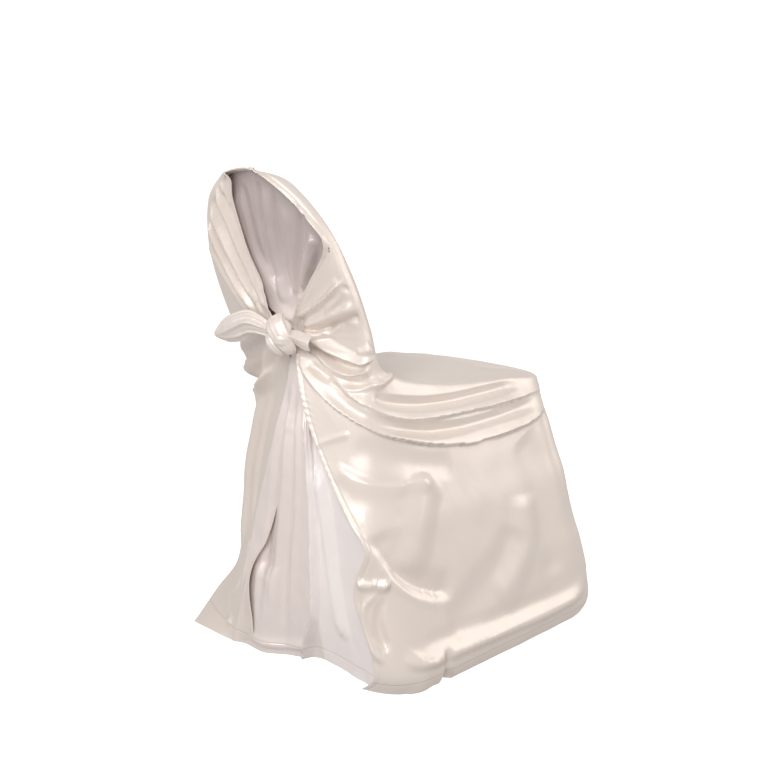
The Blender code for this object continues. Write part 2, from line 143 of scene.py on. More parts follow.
# %% [markdown]
# The skirt and the seat are sections from the floor up, and the hood is sections of a reclined,
# arched back. They are the same named sizes that the solids were built from, so the cloth lies on its
# solid everywhere, and what is added is folds, softened corners and sewn edges.

# %% The cover's sections
TOP_HEIGHT = 0.846
BACK_SHOULDER_HEIGHT = 0.620
BACK_HALF_WIDTH = 0.184
BACK_DEPTH = 0.034
BACK_REAR_Y = 0.246
BACK_REAR_Y_HEIGHT = 0.600
BACK_RECLINE = 0.3917
ARCH_POWER = 2.2
FACE_INSET = 0.07
FACE_BULGE = 0.002
NARROW_WING = 0.050
CORNER_SLIDE = 0.35
SIDE_PLACE = 0.50
SIDE_SLIDE = 0.20
MIRROR = np.array((-1.0, 1.0, 1.0))

SKIRT_COLUMNS = ("rows",
                 "right_x", "right_y", "right_z", "corner_x", "corner_y", "corner_z",
                 "side_x", "side_y", "side_z", "front_x", "front_y", "front_z",
                 "middle_y", "middle_z", "left_corner_x", "left_corner_y", "left_corner_z",
                 "left_x", "left_y", "left_z", "left_tuck")
SKIRT_SECTIONS = {
    "floor": (2, -0.215, 0.272, 0.000, -0.288, 0.246, 0.000,
              -0.290, -0.02, 0.000, -0.280, -0.306, 0.000, -0.320, 0.000,
              0.226, 0.322, 0.000, 0.084, 0.318, 0.000, 0.000),
    "hem bend": (2, -0.250, 0.277, 0.034, -0.300, 0.244, 0.032,
                 -0.300, -0.02, 0.032, -0.292, -0.314, 0.032, -0.330, 0.032,
                 0.266, 0.240, 0.032, 0.082, 0.312, 0.034, 0.000),
    "ankle": (2, -0.241, 0.280, 0.085, -0.288, 0.248, 0.085,
              -0.292, -0.02, 0.090, -0.285, -0.308, 0.090, -0.322, 0.090,
              0.250, 0.194, 0.085, 0.080, 0.298, 0.085, 0.000),
    "shin": (2, -0.211, 0.283, 0.150, -0.276, 0.252, 0.148,
             -0.283, -0.02, 0.148, -0.275, -0.294, 0.150, -0.309, 0.150,
             0.232, 0.190, 0.150, 0.066, 0.280, 0.150, 0.000),
    "calf": (2, -0.214, 0.284, 0.192, -0.267, 0.254, 0.190,
             -0.275, -0.02, 0.190, -0.266, -0.283, 0.190, -0.298, 0.190,
             0.226, 0.189, 0.190, 0.050, 0.268, 0.190, 0.000),
    "under knee": (2, -0.234, 0.281, 0.245, -0.257, 0.254, 0.238,
                   -0.265, -0.01, 0.236, -0.259, -0.272, 0.240, -0.285, 0.240,
                   0.220, 0.188, 0.240, 0.038, 0.260, 0.240, 0.000),
    "knee": (2, -0.199, 0.283, 0.286, -0.250, 0.254, 0.282,
             -0.257, -0.01, 0.278, -0.251, -0.261, 0.290, -0.272, 0.290,
             0.216, 0.188, 0.290, 0.028, 0.254, 0.290, 0.000),
    "thigh": (3, -0.153, 0.283, 0.343, -0.240, 0.252, 0.326,
              -0.248, 0.00, 0.316, -0.241, -0.247, 0.336, -0.256, 0.338,
              0.206, 0.187, 0.340, 0.014, 0.248, 0.345, 0.000),
    "swag": (5, -0.108, 0.281, 0.407, -0.229, 0.248, 0.374,
             -0.240, 0.00, 0.354, -0.232, -0.235, 0.382, -0.241, 0.386,
             0.192, 0.187, 0.388, 0.000, 0.244, 0.404, 0.000),
    "below seat": (4, -0.074, 0.277, 0.470, -0.217, 0.242, 0.436,
                   -0.226, 0.00, 0.412, -0.222, -0.226, 0.430, -0.229, 0.436,
                   0.180, 0.190, 0.440, -0.014, 0.240, 0.466, 0.000),
    "seat side": (3, -0.052, 0.268, 0.526, -0.210, 0.232, 0.478,
                  -0.213, 0.00, 0.452, -0.216, -0.222, 0.457, -0.222, 0.468,
                  0.199, 0.204, 0.486, -0.004, 0.243, 0.522, 0.000),
    "seat rim": (2, -0.044, 0.263, 0.546, -0.206, 0.228, 0.502,
                 -0.199, 0.01, 0.477, -0.209, -0.206, 0.473, -0.210, 0.482,
                 0.197, 0.206, 0.498, 0.002, 0.246, 0.545, 0.006),
    "seat": (2, -0.036, 0.260, 0.560, -0.202, 0.228, 0.524,
             -0.185, 0.085, 0.482, -0.180, -0.100, 0.482, -0.110, 0.488,
             0.197, 0.211, 0.510, 0.006, 0.248, 0.560, 0.013),
    "seat back": (2, -0.032, 0.259, 0.568, -0.202, 0.230, 0.542,
                  -0.183, 0.155, 0.487, -0.175, 0.060, 0.483, 0.060, 0.487,
                  0.194, 0.219, 0.525, 0.009, 0.249, 0.568, 0.016),
    "back foot": (2, -0.030, 0.258, 0.575, -0.200, 0.234, 0.560,
                  -0.186, 0.196, 0.518, -0.174, 0.170, 0.490, 0.164, 0.486,
                  0.184, 0.225, 0.548, 0.014, 0.250, 0.576, 0.016),
}

HOOD_COLUMNS = ("rows", "side_z", "right_x", "right_z", "left_x", "left_z", "stand")
HOOD_SECTIONS = {
    "waist": (2, 0.590, -0.028, 0.588, 0.024, 0.586, 0.014),
    "gather": (3, 0.640, -0.045, 0.618, 0.036, 0.614, 0.010),
    "wing": (2, 0.684, -0.100, 0.668, 0.044, 0.666, 0.004),
    "shoulder": (2, 0.730, -0.160, 0.725, 0.048, 0.715, 0.002),
    "arch": (2, 0.772, -0.133, 0.770, 0.048, 0.764, 0.001),
    "crown": (2, 0.804, -0.102, 0.802, 0.044, 0.800, 0.001),
    "brow": (2, 0.830, -0.064, 0.828, 0.032, 0.826, 0.001),
}
CREST = (
    (-0.034, 0.000, 0.0030), (-0.031, -0.001, 0.0025), (-0.027, -0.002, 0.0020), (-0.021, -0.003, 0.0012),
    (-0.012, -0.004, 0.0004), (0.000, -0.004, 0.0000), (0.012, -0.004, 0.0004), (0.026, -0.004, 0.0014),
    (0.044, -0.003, 0.0050), (0.041, 0.001, 0.0070), (0.034, 0.003, 0.0090),
)


def back_rear_y(height):
    """The rear face of the back leans away in a straight line as it rises."""
    return BACK_REAR_Y + BACK_RECLINE * (height - BACK_REAR_Y_HEIGHT)


def back_half_width(height):
    """Straight sides and, above the shoulders, a flattened elliptic arch."""
    rise = max(0.0, (height - BACK_SHOULDER_HEIGHT) / (TOP_HEIGHT - BACK_SHOULDER_HEIGHT))
    return BACK_HALF_WIDTH * math.sqrt(max(0.0, 1.0 - rise ** ARCH_POWER))


def skirt_stations(section):
    """The eleven stations of a skirt or seat section, in order from the right edge to the left."""
    at = dict(zip(SKIRT_COLUMNS, section), middle_x=0.0)
    right, corner, side, front, middle, left_corner, left = (
        np.array([at[name + axis] for axis in ("_x", "_y", "_z")])
        for name in ("right", "corner", "side", "front", "middle", "left_corner", "left"))
    tuck = np.array((at["left_tuck"], 0.0, 0.0))
    return np.array((right, (right + corner) / 2, corner, side, front, middle,
                     front * MIRROR - tuck, side * MIRROR - tuck, left_corner,
                     (left_corner + left) / 2, left))


def hood_stations(section):
    """A hood section wraps the back: wing, side wall, front face, side wall, wing."""
    at = dict(zip(HOOD_COLUMNS, section))
    height = at["side_z"]
    half = back_half_width(height)
    rear = back_rear_y(height)
    face = np.array((-half * (1 - FACE_INSET), rear - BACK_DEPTH, height))
    middle = np.array((0.0, rear - BACK_DEPTH - FACE_BULGE, height))

    def wing(edge_x, edge_z):
        """Where a wing is narrower than the rim, its corner and side slide forward along the wall."""
        edge = np.array((edge_x, back_rear_y(edge_z) + at["stand"], edge_z))
        slide = np.clip(1 - (half - abs(edge_x)) / NARROW_WING, 0, 1)
        corner = np.array((-half, rear - BACK_DEPTH * CORNER_SLIDE * slide, height))
        side = np.array((-half, rear - BACK_DEPTH * (SIDE_PLACE + SIDE_SLIDE * slide), height))
        return edge, corner, side

    right, corner, side = wing(at["right_x"], at["right_z"])
    left, left_corner, left_side = wing(at["left_x"], at["left_z"])
    left_corner, left_side = left_corner * MIRROR, left_side * MIRROR
    return np.array((right, (right + corner) / 2, corner, side, face, middle,
                     face * MIRROR, left_side, left_corner, (left_corner + left) / 2, left))


def crest_stations():
    """The last section is the short line where the hood's roof meets its open back."""
    across, back, drop = np.array(CREST).T
    return np.stack((across, back_rear_y(TOP_HEIGHT) + back, TOP_HEIGHT - drop), 1)


COVER_ROUNDING = 0.30
COVER_STEPS_ACROSS = (44, 44, 66, 46, 20, 20, 24, 26, 24, 26)
COVER_ROWS_FOR_EACH = 5
COVER_WALL = 0.0016


def bare_cover():
    """The cover before its folds: rows from the hem up, columns from the right edge to the left."""
    stations = [skirt_stations(section) for section in SKIRT_SECTIONS.values()]
    stations += [hood_stations(section) for section in HOOD_SECTIONS.values()]
    stations.append(crest_stations())
    steps = [section[0] for section in SKIRT_SECTIONS.values()]
    steps += [section[0] for section in HOOD_SECTIONS.values()]
    rows = through_points(np.array(stations), places([COVER_ROWS_FOR_EACH * count for count in steps]))
    rows[..., 2] = np.maximum(rows[..., 2], 0.0)
    return rounded_between(rows, places(COVER_STEPS_ACROSS), COVER_ROUNDING)


CORNER_COLUMN = COVER_STEPS_ACROSS[0] + COVER_STEPS_ACROSS[1]
CORNER_COLUMNS = CORNER_COLUMN + 60
CORNER_SPREAD = 0.034
CORNER_SPREADS = 3
CORNER_TOP = 0.47
CORNER_TOP_FADE = 0.10
CORNER_EDGE_REACH = 0.030


def corner_softened(grid):
    """Hanging cloth can't keep a sharp corner. Near the rear right corner each point becomes the mean
    of its row's neighbours, weighted by exp(-(distance / spread)^2 / 2)."""
    part = grid[:, :CORNER_COLUMNS]
    along = reach_along(part, 1)
    size = np.gradient(along, axis=1)
    gaps = along[:, :, None] - along[:, None, :]
    weight = np.exp(-(gaps / CORNER_SPREAD) ** 2 / 2) * size[:, None, :]
    mean = (weight @ part) / weight.sum(2, keepdims=True)
    from_corner = np.abs(along - along[:, CORNER_COLUMN:CORNER_COLUMN + 1])
    share = eased(2 - from_corner / (CORNER_SPREADS * CORNER_SPREAD)) * eased(along / CORNER_EDGE_REACH)
    share = share * eased((CORNER_TOP - part[..., 2]) / CORNER_TOP_FADE)
    softened = grid.copy()
    softened[:, :CORNER_COLUMNS] += (mean - part) * share[..., None]
    return softened


cover_grid = corner_softened(bare_cover())
print("cover grid:", cover_grid.shape)

# %% [markdown]
# A fold is written down as a maker would chalk it: a line on the cloth, how far the cloth is lifted
# there, how far the fold reaches on each side of the line, and how crisp its crest is. A swag hangs
# over on its lower side, so the two reaches differ. Troughs are folds with a negative lift. Lifts,
# reaches and the points of the lines are in millimetres; crispness is a share from 0 to 1.

# %% Pressing folds into a grid
FOLD_COLUMNS = ("lift", "reach_right", "reach_left", "crisp", "line")
FOLD_PLACES = 14
FOLD_END_FADE = 0.16
FOLD_END_LEFT = 0.12


def in_metres(folds):
    """The same folds with every length divided by 1000. Rounding removes the division's last digit."""
    metres = {}
    for name, (lift, right, left, crisp, line) in folds.items():
        sizes = [round(size / 1000, 6) for size in (lift, right, left)]
        metres[name] = (*sizes, crisp, np.array(line) / 1000)
    return metres


def fold_profile(share, crisp):
    """A blend of a round-topped bump, (1 - s^2)^2, and a pointed one, (1 - s)^2."""
    share = np.clip(share, 0.0, 1.0)
    return (1 - crisp) * (1 - share ** 2) ** 2 + crisp * (1 - share) ** 2


def fold_lift(grid, normal, fold):
    """How far one fold lifts each point. The side of the line is the sign of the point's offset
    along the cross product of the line's direction and the cloth's normal."""
    at = dict(zip(FOLD_COLUMNS, fold))
    points = np.array(at["line"])
    where = np.linspace(0, len(points) - 1, FOLD_PLACES * len(points))
    line = through_points(points, where)
    heading = np.gradient(line, axis=0)
    heading /= np.linalg.norm(heading, axis=1, keepdims=True)
    reach = max(at["reach_right"], at["reach_left"])
    near = ((grid > line.min(0) - reach) & (grid < line.max(0) + reach)).all(-1)
    spots, facing = grid[near], normal[near]
    gaps = np.linalg.norm(spots[:, None] - line[None], axis=-1)
    nearest = gaps.argmin(1)
    offset = spots - line[nearest]
    side = (np.cross(heading[nearest], facing) * offset).sum(1)
    width = np.where(side > 0, at["reach_right"], at["reach_left"])
    share = where[nearest] / where[-1]
    fade = eased(np.minimum(share, 1 - share) / FOLD_END_FADE + FOLD_END_LEFT)
    lift = np.zeros(grid.shape[:2])
    lift[near] = at["lift"] * fade * fold_profile(gaps.min(1) / width, at["crisp"])
    return lift


def pressed(grid, folds):
    """Every fold is measured on the bare cloth and their lifts are added along its normal."""
    normal = normals_of(grid)
    lift = sum(fold_lift(grid, normal, fold) for fold in folds.values())
    return grid + normal * lift[..., None]


WAVE_BEND = 1.3
WAVE_BEND_RATE = 0.6
WAVE_BEND_START = 1.0


def wrinkled(grid, size, seed, waves=18, finest=0.035, coarsest=0.16, squeeze=(1.0, 1.0, 0.45)):
    """Slow unevenness: a sum of plane waves in seeded directions, longer up the cloth than across,
    each as high as it is long and each a sine whose angle is itself bent by a slower sine."""
    dice = np.random.default_rng(seed)
    normal = normals_of(grid)
    lift = 0.0
    for _ in range(waves):
        length = np.exp(dice.uniform(np.log(finest), np.log(coarsest)))
        heading = dice.normal(size=3) * squeeze
        heading /= np.linalg.norm(heading)
        turn = 2 * np.pi * (grid @ heading) / length + dice.uniform(0, 2 * np.pi)
        bent = turn + WAVE_BEND * np.sin(WAVE_BEND_RATE * turn + WAVE_BEND_START)
        lift = lift + length * np.sin(bent)
    return grid + normal * (size * lift / (coarsest * math.sqrt(waves)))[..., None]


# %% [markdown]
# The folds of the cover, in the order they meet the eye: the pleats of the left wing, the rolled rim
# and the gathers of the right wing, the lobes under the knot, the two long swags that run around the
# side, then the quiet creases of the skirt and the turned-over hem at the rear corner.

# %% The cover's folds
COVER_FOLDS = {
    "left pleat 1": (11.3, 12.1, 6.6, 0.5, (
        (78, 332, 816), (76, 322, 790), (73, 314, 768), (68, 303, 738), (62, 290, 705),
        (53, 276, 668), (45, 260, 628), (38, 249, 600))),
    "left pleat 2": (13.3, 13.2, 7.7, 0.5, (
        (112, 318, 786), (112, 309, 758), (105, 299, 730), (94, 287, 698), (80, 272, 660),
        (62, 256, 621), (48, 249, 598))),
    "left pleat 3": (13.3, 13.2, 8.8, 0.5, (
        (136, 309, 759), (133, 298, 730), (127, 286, 698), (114, 272, 660), (96, 259, 626),
        (70, 250, 600))),
    "left pleat 4": (6.8, 12, 10, 0.7, (
        (162, 290, 720), (156, 278, 690), (143, 266, 655), (118, 254, 618), (84, 247, 594))),
    "left hollow 1": (-8.4, 9.1, 9.1, 0.1, (
        (63, 328, 811), (62, 318, 782), (60, 305, 745), (55, 290, 705), (49, 275, 665),
        (42, 259, 624))),
    "left hollow 2": (-9.2, 10.4, 10.4, 0.1, (
        (98, 324, 800), (96, 312, 766), (88, 298, 728), (77, 283, 690), (64, 266, 648),
        (48, 252, 608))),
    "left hollow 3": (-9.2, 11.7, 11.7, 0.1, (
        (124, 314, 768), (120, 300, 735), (110, 284, 694), (94, 268, 654), (70, 254, 613))),
    "left hollow 4": (-7.7, 15.6, 15.6, 0.1, (
        (150, 293, 715), (143, 279, 678), (128, 266, 643), (100, 253, 608))),
    "left top pucker": (4, 7, 7, 0.4, (
        (62, 333, 824), (60, 326, 806), (54, 320, 788))),
    "rim pucker high": (5, 6, 6, 0.5, (
        (-118, 326, 800), (-121, 320, 788), (-114, 316, 778))),
    "rim pucker low": (5, 6, 6, 0.5, (
        (-136, 320, 784), (-134, 314, 772), (-126, 308, 762))),
    "rim ridge": (3, 6, 6, 0.3, (
        (-30, 343, 843), (-70, 337, 828), (-104, 328, 808), (-134, 318, 784), (-157, 305, 752),
        (-172, 292, 716))),
    "wing slope": (4.8, 10, 60, 0.6, (
        (-164, 282, 674), (-150, 280, 663), (-135, 276, 652), (-108, 272, 636), (-75, 266, 618),
        (-50, 260, 604))),
    "right crease": (10, 6, 22, 0.7, (
        (-178, 278, 671), (-158, 276, 659), (-135, 273, 645), (-108, 270, 631), (-75, 266, 616),
        (-40, 258, 601))),
    "right hollow": (-7.3, 16, 10, 0.2, (
        (-182, 268, 662), (-158, 267, 646), (-117, 262, 626), (-81, 259, 609), (-45, 255, 594))),
    "right glint": (8.1, 10, 8, 0.3, (
        (-176, 266, 657), (-160, 264, 646), (-142, 260, 633), (-118, 258, 620))),
    "right fold 1": (12.1, 12, 16, 0.3, (
        (-184, 256, 632), (-160, 258, 621), (-128, 258, 611), (-90, 254, 599), (-58, 254, 589))),
    "right arch hollow": (-10.8, 12, 12, 0.2, (
        (-186, 252, 612), (-160, 254, 602), (-132, 252, 594), (-106, 248, 586))),
    "right fold 2": (10.8, 8, 12, 0.4, (
        (-180, 250, 606), (-155, 254, 601), (-132, 252, 592), (-110, 250, 583), (-86, 248, 578),
        (-58, 252, 581))),
    "ear upper": (8.8, 10, 12, 0.3, (
        (-196, 236, 600), (-200, 232, 584), (-202, 230, 566), (-186, 240, 556), (-166, 243, 554))),
    "lobe 1": (16.3, 7, 20, 0.4, (
        (-52, 256, 572), (-78, 250, 566), (-104, 246, 557), (-130, 244, 546), (-158, 243, 537),
        (-180, 238, 534), (-198, 231, 540))),
    "lobe hollow": (-12.5, 10, 10, 0.2, (
        (-62, 262, 560), (-90, 254, 552), (-118, 251, 540), (-143, 248, 529), (-168, 242, 524),
        (-188, 233, 530))),
    "lobe 2": (16.3, 8, 18, 0.4, (
        (-56, 264, 556), (-88, 258, 544), (-108, 253, 530), (-130, 247, 519), (-157, 242, 513),
        (-178, 236, 517), (-194, 228, 529))),
    "lobe 3 hollow": (-10, 12, 12, 0.2, (
        (-78, 266, 530), (-110, 258, 512), (-140, 250, 500), (-170, 240, 500), (-192, 226, 508))),
    "lobe 3": (10, 10, 14, 0.3, (
        (-116, 256, 508), (-140, 248, 500), (-165, 240, 494), (-188, 230, 500), (-199, 209, 507))),
    "ear lower": (7.5, 9, 9, 0.4, (
        (-192, 186, 512), (-198, 198, 510), (-199, 212, 503), (-190, 226, 494))),
    "swag low": (16, 8, 34, 0.65, (
        (-52, 266, 548), (-72, 270, 514), (-108, 271, 484), (-141, 267, 464), (-180, 262, 446),
        (-217, 240, 428), (-231, 173, 406), (-238, 109, 391), (-242, 35, 383), (-238, -60, 385),
        (-232, -150, 398), (-224, -210, 418))),
    "swag hollow": (-12, 16, 16, 0.2, (
        (-112, 266, 496), (-164, 259, 466), (-202, 246, 450), (-222, 207, 432), (-223, 132, 416),
        (-220, 63, 410), (-218, -9, 411), (-219, -83, 416), (-222, -160, 424))),
    "swag high": (12, 6, 26, 0.65, (
        (-118, 256, 516), (-155, 246, 487), (-180, 239, 471), (-204, 225, 457), (-213, 192, 444),
        (-219, 148, 437), (-223, 96, 435), (-224, 14, 435), (-221, -79, 437), (-214, -190, 444))),
    "under seat hollow": (-9.6, 16, 14, 0.1, (
        (-196, 226, 486), (-208, 205, 474), (-213, 135, 462), (-212, 56, 458), (-209, -32, 460),
        (-207, -125, 464))),
    "small crease": (4, 12, 6, 0.6, (
        (-112, 281, 399), (-124, 278, 405), (-146, 268, 414), (-171, 258, 424))),
    "facet top": (6.1, 28, 12, 0.3, (
        (-155, 275, 368), (-200, 263, 352), (-238, 234, 346), (-242, 183, 343), (-241, 136, 345))),
    "facet side": (9.3, 36, 50, 0.15, (
        (-241, 141, 346), (-248, 167, 313), (-253, 184, 272), (-256, 198, 235), (-256, 221, 200))),
    "facet hollow": (-3.7, 28.6, 28.6, 0.1, (
        (-177, 260, 400), (-217, 238, 390), (-230, 190, 374), (-236, 133, 359), (-239, 82, 352))),
    "facet low band": (2.2, 23.4, 20.8, 0.3, (
        (-208, 276, 294), (-232, 264, 283), (-247, 243, 278), (-253, 199, 276))),
    "facet middle hollow": (-1.5, 18, 18, 0.1, (
        (-184, 278, 320), (-229, 260, 313), (-250, 221, 311))),
    "dent": (-11.5, 16.8, 48, 0.2, (
        (-238, 268, 268), (-245, 253, 233), (-253, 229, 196), (-261, 199, 170), (-268, 155, 150),
        (-273, 120, 148))),
    "dent lip": (4.6, 16, 10, 0.3, (
        (-248, 258, 222), (-258, 231, 182), (-266, 199, 155), (-272, 155, 136))),
    "flip top": (10.8, 20, 8, 0.3, (
        (-215, 284, 188), (-228, 281, 190), (-245, 270, 191), (-254, 245, 189))),
    "flip curl": (11.5, 10, 12, 0.4, (
        (-256, 250, 190), (-252, 268, 178), (-234, 278, 160), (-226, 281, 143), (-231, 281, 117),
        (-243, 280, 89), (-254, 277, 72), (-270, 272, 62))),
    "flip hollow": (-11.5, 14, 14, 0.2, (
        (-262, 262, 168), (-250, 270, 140), (-254, 270, 108), (-268, 264, 84))),
    "hem bend": (11.3, 12, 30, 0.5, (
        (-285, 246, 66), (-296, 216, 52), (-298, 165, 50), (-299, 86, 48), (-300, 1, 46),
        (-299, -93, 44), (-297, -190, 46), (-293, -250, 58))),
    "hem hollow": (-2, 20, 20, 0.1, (
        (-291, 201, 84), (-292, 137, 82), (-293, 56, 80), (-294, -39, 76), (-291, -146, 76))),
    "long diagonal": (-4.6, 50, 50, 0, (
        (-272, -50, 220), (-276, -21, 177), (-282, 36, 144), (-286, 90, 112), (-289, 140, 88))),
    "long diagonal ridge": (4.6, 50, 50, 0, (
        (-262, -90, 270), (-272, -80, 200), (-281, -40, 140), (-289, 10, 100))),
    "front corner ridge": (6, 26, 34, 0.1, (
        (-222, -200, 417), (-240, -215, 339), (-263, -240, 241), (-281, -262, 149), (-293, -270, 67))),
    "front hollow": (-3.8, 50, 50, 0, (
        (-236, -110, 370), (-244, -130, 320), (-260, -140, 254), (-277, -150, 166), (-289, -150, 105))),
    "floor notch": (-20, 14, 14, 0.2, (
        (-292, 162, 60), (-290, 154, 20), (-290, 148, -10), (-290, 142, -60))),
    "floor lobe": (6, 30, 30, 0.1, (
        (-282, 200, 60), (-278, 205, 10), (-278, 206, -60))),
    "low crease a": (7.5, 8, 10, 0.4, (
        (-284, 244, 90), (-290, 232, 74), (-298, 206, 56), (-300, 180, 46))),
    "low crease b": (7.5, 8, 12, 0.4, (
        (-250, 278, 92), (-270, 271, 78), (-288, 254, 64))),
    "left strip fold": (10.4, 18, 18, 0.3, (
        (66, 236, 548), (95, 224, 503), (137, 205, 440), (165, 196, 366), (185, 196, 286),
        (192, 200, 200), (196, 220, 120))),
    "left strip hollow": (-10.4, 16, 16, 0.2, (
        (44, 240, 540), (76, 228, 496), (102, 216, 435), (124, 214, 374), (140, 216, 308),
        (152, 220, 245), (158, 232, 180))),
    "left strip fold 2": (10.4, 14, 14, 0.3, (
        (24, 246, 536), (44, 240, 470), (64, 238, 400), (80, 240, 320), (94, 248, 240),
        (106, 262, 150), (112, 280, 80))),
    "left flare curl": (18.2, 10, 14, 0.4, (
        (186, 264, 70), (178, 274, 52), (160, 290, 42), (134, 304, 34), (108, 312, 22))),
    "left flare hollow": (-11.2, 18, 18, 0.2, (
        (140, 240, 170), (146, 258, 110), (150, 276, 70))),
}
print("folds seen in the photograph:", len(COVER_FOLDS))

# %% [markdown]
# The photograph shows neither the front nor the sitter's left side. The same cloth hangs there, so
# its folds are quieter mirrors of the ones that can be seen, and their points are first moved onto
# the bare cloth.

# %% The folds of the hidden sides
HIDDEN_FOLDS = {
    "left swag low": (12, 30, 9, 0.5, (
        (222, -215, 428), (230, -160, 410), (238, -70, 396), (241, 30, 392), (232, 110, 400),
        (205, 172, 420), (160, 198, 446), (104, 214, 478), (52, 230, 512))),
    "left swag hollow": (-10, 18, 18, 0.1, (
        (220, -160, 436), (222, -70, 424), (222, 30, 420), (214, 120, 430), (188, 185, 450),
        (140, 206, 480), (80, 226, 520))),
    "left swag high": (10, 24, 8, 0.5, (
        (212, -190, 452), (219, -80, 447), (220, 20, 446), (212, 120, 454), (190, 188, 478),
        (150, 208, 508), (98, 228, 546))),
    "left hem bend": (6, 30, 12, 0.45, (
        (293, -250, 58), (297, -150, 48), (299, -40, 46), (299, 70, 50), (292, 160, 58),
        (276, 215, 66))),
    "left side fold": (11.9, 36, 28, 0.3, (
        (246, 60, 340), (262, 80, 240), (276, 90, 150), (288, 90, 80))),
    "left side hollow": (-8, 45, 45, 0, (
        (246, -60, 340), (262, -50, 240), (278, -30, 150), (290, -10, 80))),
    "front hem bend": (6, 30, 12, 0.45, (
        (-262, -315, 56), (-160, -326, 48), (-40, -331, 46), (80, -330, 50), (180, -324, 46),
        (258, -314, 56))),
    "front fold 1": (11.9, 32, 40, 0.3, (
        (-110, -236, 420), (-122, -262, 320), (-136, -290, 210), (-150, -316, 100))),
    "front fold 2": (10.2, 40, 32, 0.3, (
        (70, -232, 440), (82, -266, 320), (94, -296, 200), (110, -322, 80))),
    "front hollow middle": (-8, 50, 50, 0, (
        (-18, -240, 420), (-22, -272, 300), (-30, -305, 170), (-34, -326, 70))),
    "front left corner ridge": (5, 36, 28, 0.1, (
        (222, -200, 417), (240, -215, 339), (263, -240, 241), (281, -262, 149), (293, -270, 67))),
    "seat corner pull right": (2.4, 30, 30, 0.2, (
        (-196, -196, 476), (-160, -160, 486), (-120, -110, 490))),
    "seat corner pull left": (2.4, 30, 30, 0.2, (
        (196, -196, 476), (160, -150, 486), (110, -100, 490))),
    "seat back gather": (-4, 14, 22, 0.2, (
        (-150, 176, 488), (-60, 172, 487), (40, 172, 487), (140, 176, 488))),
    "hood front fold": (3.9, 48, 48, 0.1, (
        (-90, 262, 760), (-64, 236, 690), (-50, 210, 610), (-50, 190, 540))),
    "hood front fold 2": (3.3, 52, 52, 0.1, (
        (94, 262, 760), (78, 236, 690), (70, 210, 610), (66, 190, 540))),
}


def on_cloth(folds, grid):
    """The same folds with every point of every line moved to the nearest point of the cloth."""
    spots = grid.reshape(-1, 3)
    return {name: (*sizes, [spots[((spots - point) ** 2).sum(1).argmin()] for point in line])
            for name, (*sizes, line) in folds.items()}


print("folds of the hidden sides:", len(HIDDEN_FOLDS))

# %% [markdown]
# Where the sash grips, the cloth is drawn into many small gathers that all point at the knot. They
# are not worth chalking one by one: their lift follows the angle around the knot, grows from nothing
# to its full height four centimetres out, and dies away again. Only cloth that faces backwards has it.

# %% Gathers around the knot
KNOT = np.array((-0.024, 0.2800, 0.572))
GATHER_REACH = 0.042
GATHER_LIMIT = 0.20
GATHER_COUNTS = (7, 19)
GATHER_SHARPNESS = 1.4
REAR_STEEPNESS = 2
REAR_START = 0.4


def gathered(grid, height, seed, count):
    """Pleats by the angle around the knot: a row of seeded cosines bent to sharp crests."""
    dice = np.random.default_rng(seed)
    normal = normals_of(grid)
    offset = grid - KNOT
    distance = np.hypot(offset[..., 0], offset[..., 2])
    angle = np.arctan2(offset[..., 2], offset[..., 0])
    waves = np.zeros(angle.shape)
    for _ in range(count):
        waves += np.cos(dice.integers(*GATHER_COUNTS) * angle + dice.uniform(0, 2 * np.pi))
    waves = waves / math.sqrt(count)
    crest = 1 - np.abs(np.tanh(waves)) * GATHER_SHARPNESS
    share = distance / GATHER_REACH
    strength = share * np.exp(1 - share) * (distance < GATHER_LIMIT)
    strength = strength * eased(REAR_STEEPNESS * normal[..., 1] - REAR_START)
    return grid + normal * (height * strength * crest)[..., None]


def stand_on_floor(grid, wall):
    """The hem touches the floor and nothing goes through it."""
    lying = wall * np.abs(normals_of(grid)[..., 2])
    grid[..., 2] = np.maximum(grid[..., 2], lying)
    grid[0, :, 2] = lying[0]
    return grid


STITCH_GAP = 0.0135
STITCH_DEPTH = 0.0010
STITCH_REACH = 0.013
STITCH_FROM = 0.21
STITCH_FADE = 0.06
STITCH_SLIP = 0.004
STITCH_SLIP_LENGTH = 0.031
STITCH_SWELL = 0.4
STITCH_SWELL_LENGTH = 0.017
HEM_WIDTH = 0.009
HEM_GROOVE = 0.0010
HEM_GROOVE_REACH = 0.0022
LEFT_LIP = 0.0070
LEFT_LIP_REACH = 0.010
LEFT_LIP_TOP = 0.50
LEFT_LIP_FOOT = 0.05
LEFT_LIP_FADE = 0.1
TUCK_REACH = 0.052
TUCK_DEPTH = 0.022
TUCK_TOP = 0.53
TUCK_FADE = 0.08
TUCK_COLUMNS = 12
TUCK_STEP = 0.0012
TUCK_SINK_POWER = 0.8


def from_edge(grid, side):
    """How far each point lies from one free edge, in metres along its row: a running sum."""
    ordered = grid if side == "right" else grid[:, ::-1]
    reach = reach_along(ordered, 1)
    return reach if side == "right" else reach[:, ::-1]


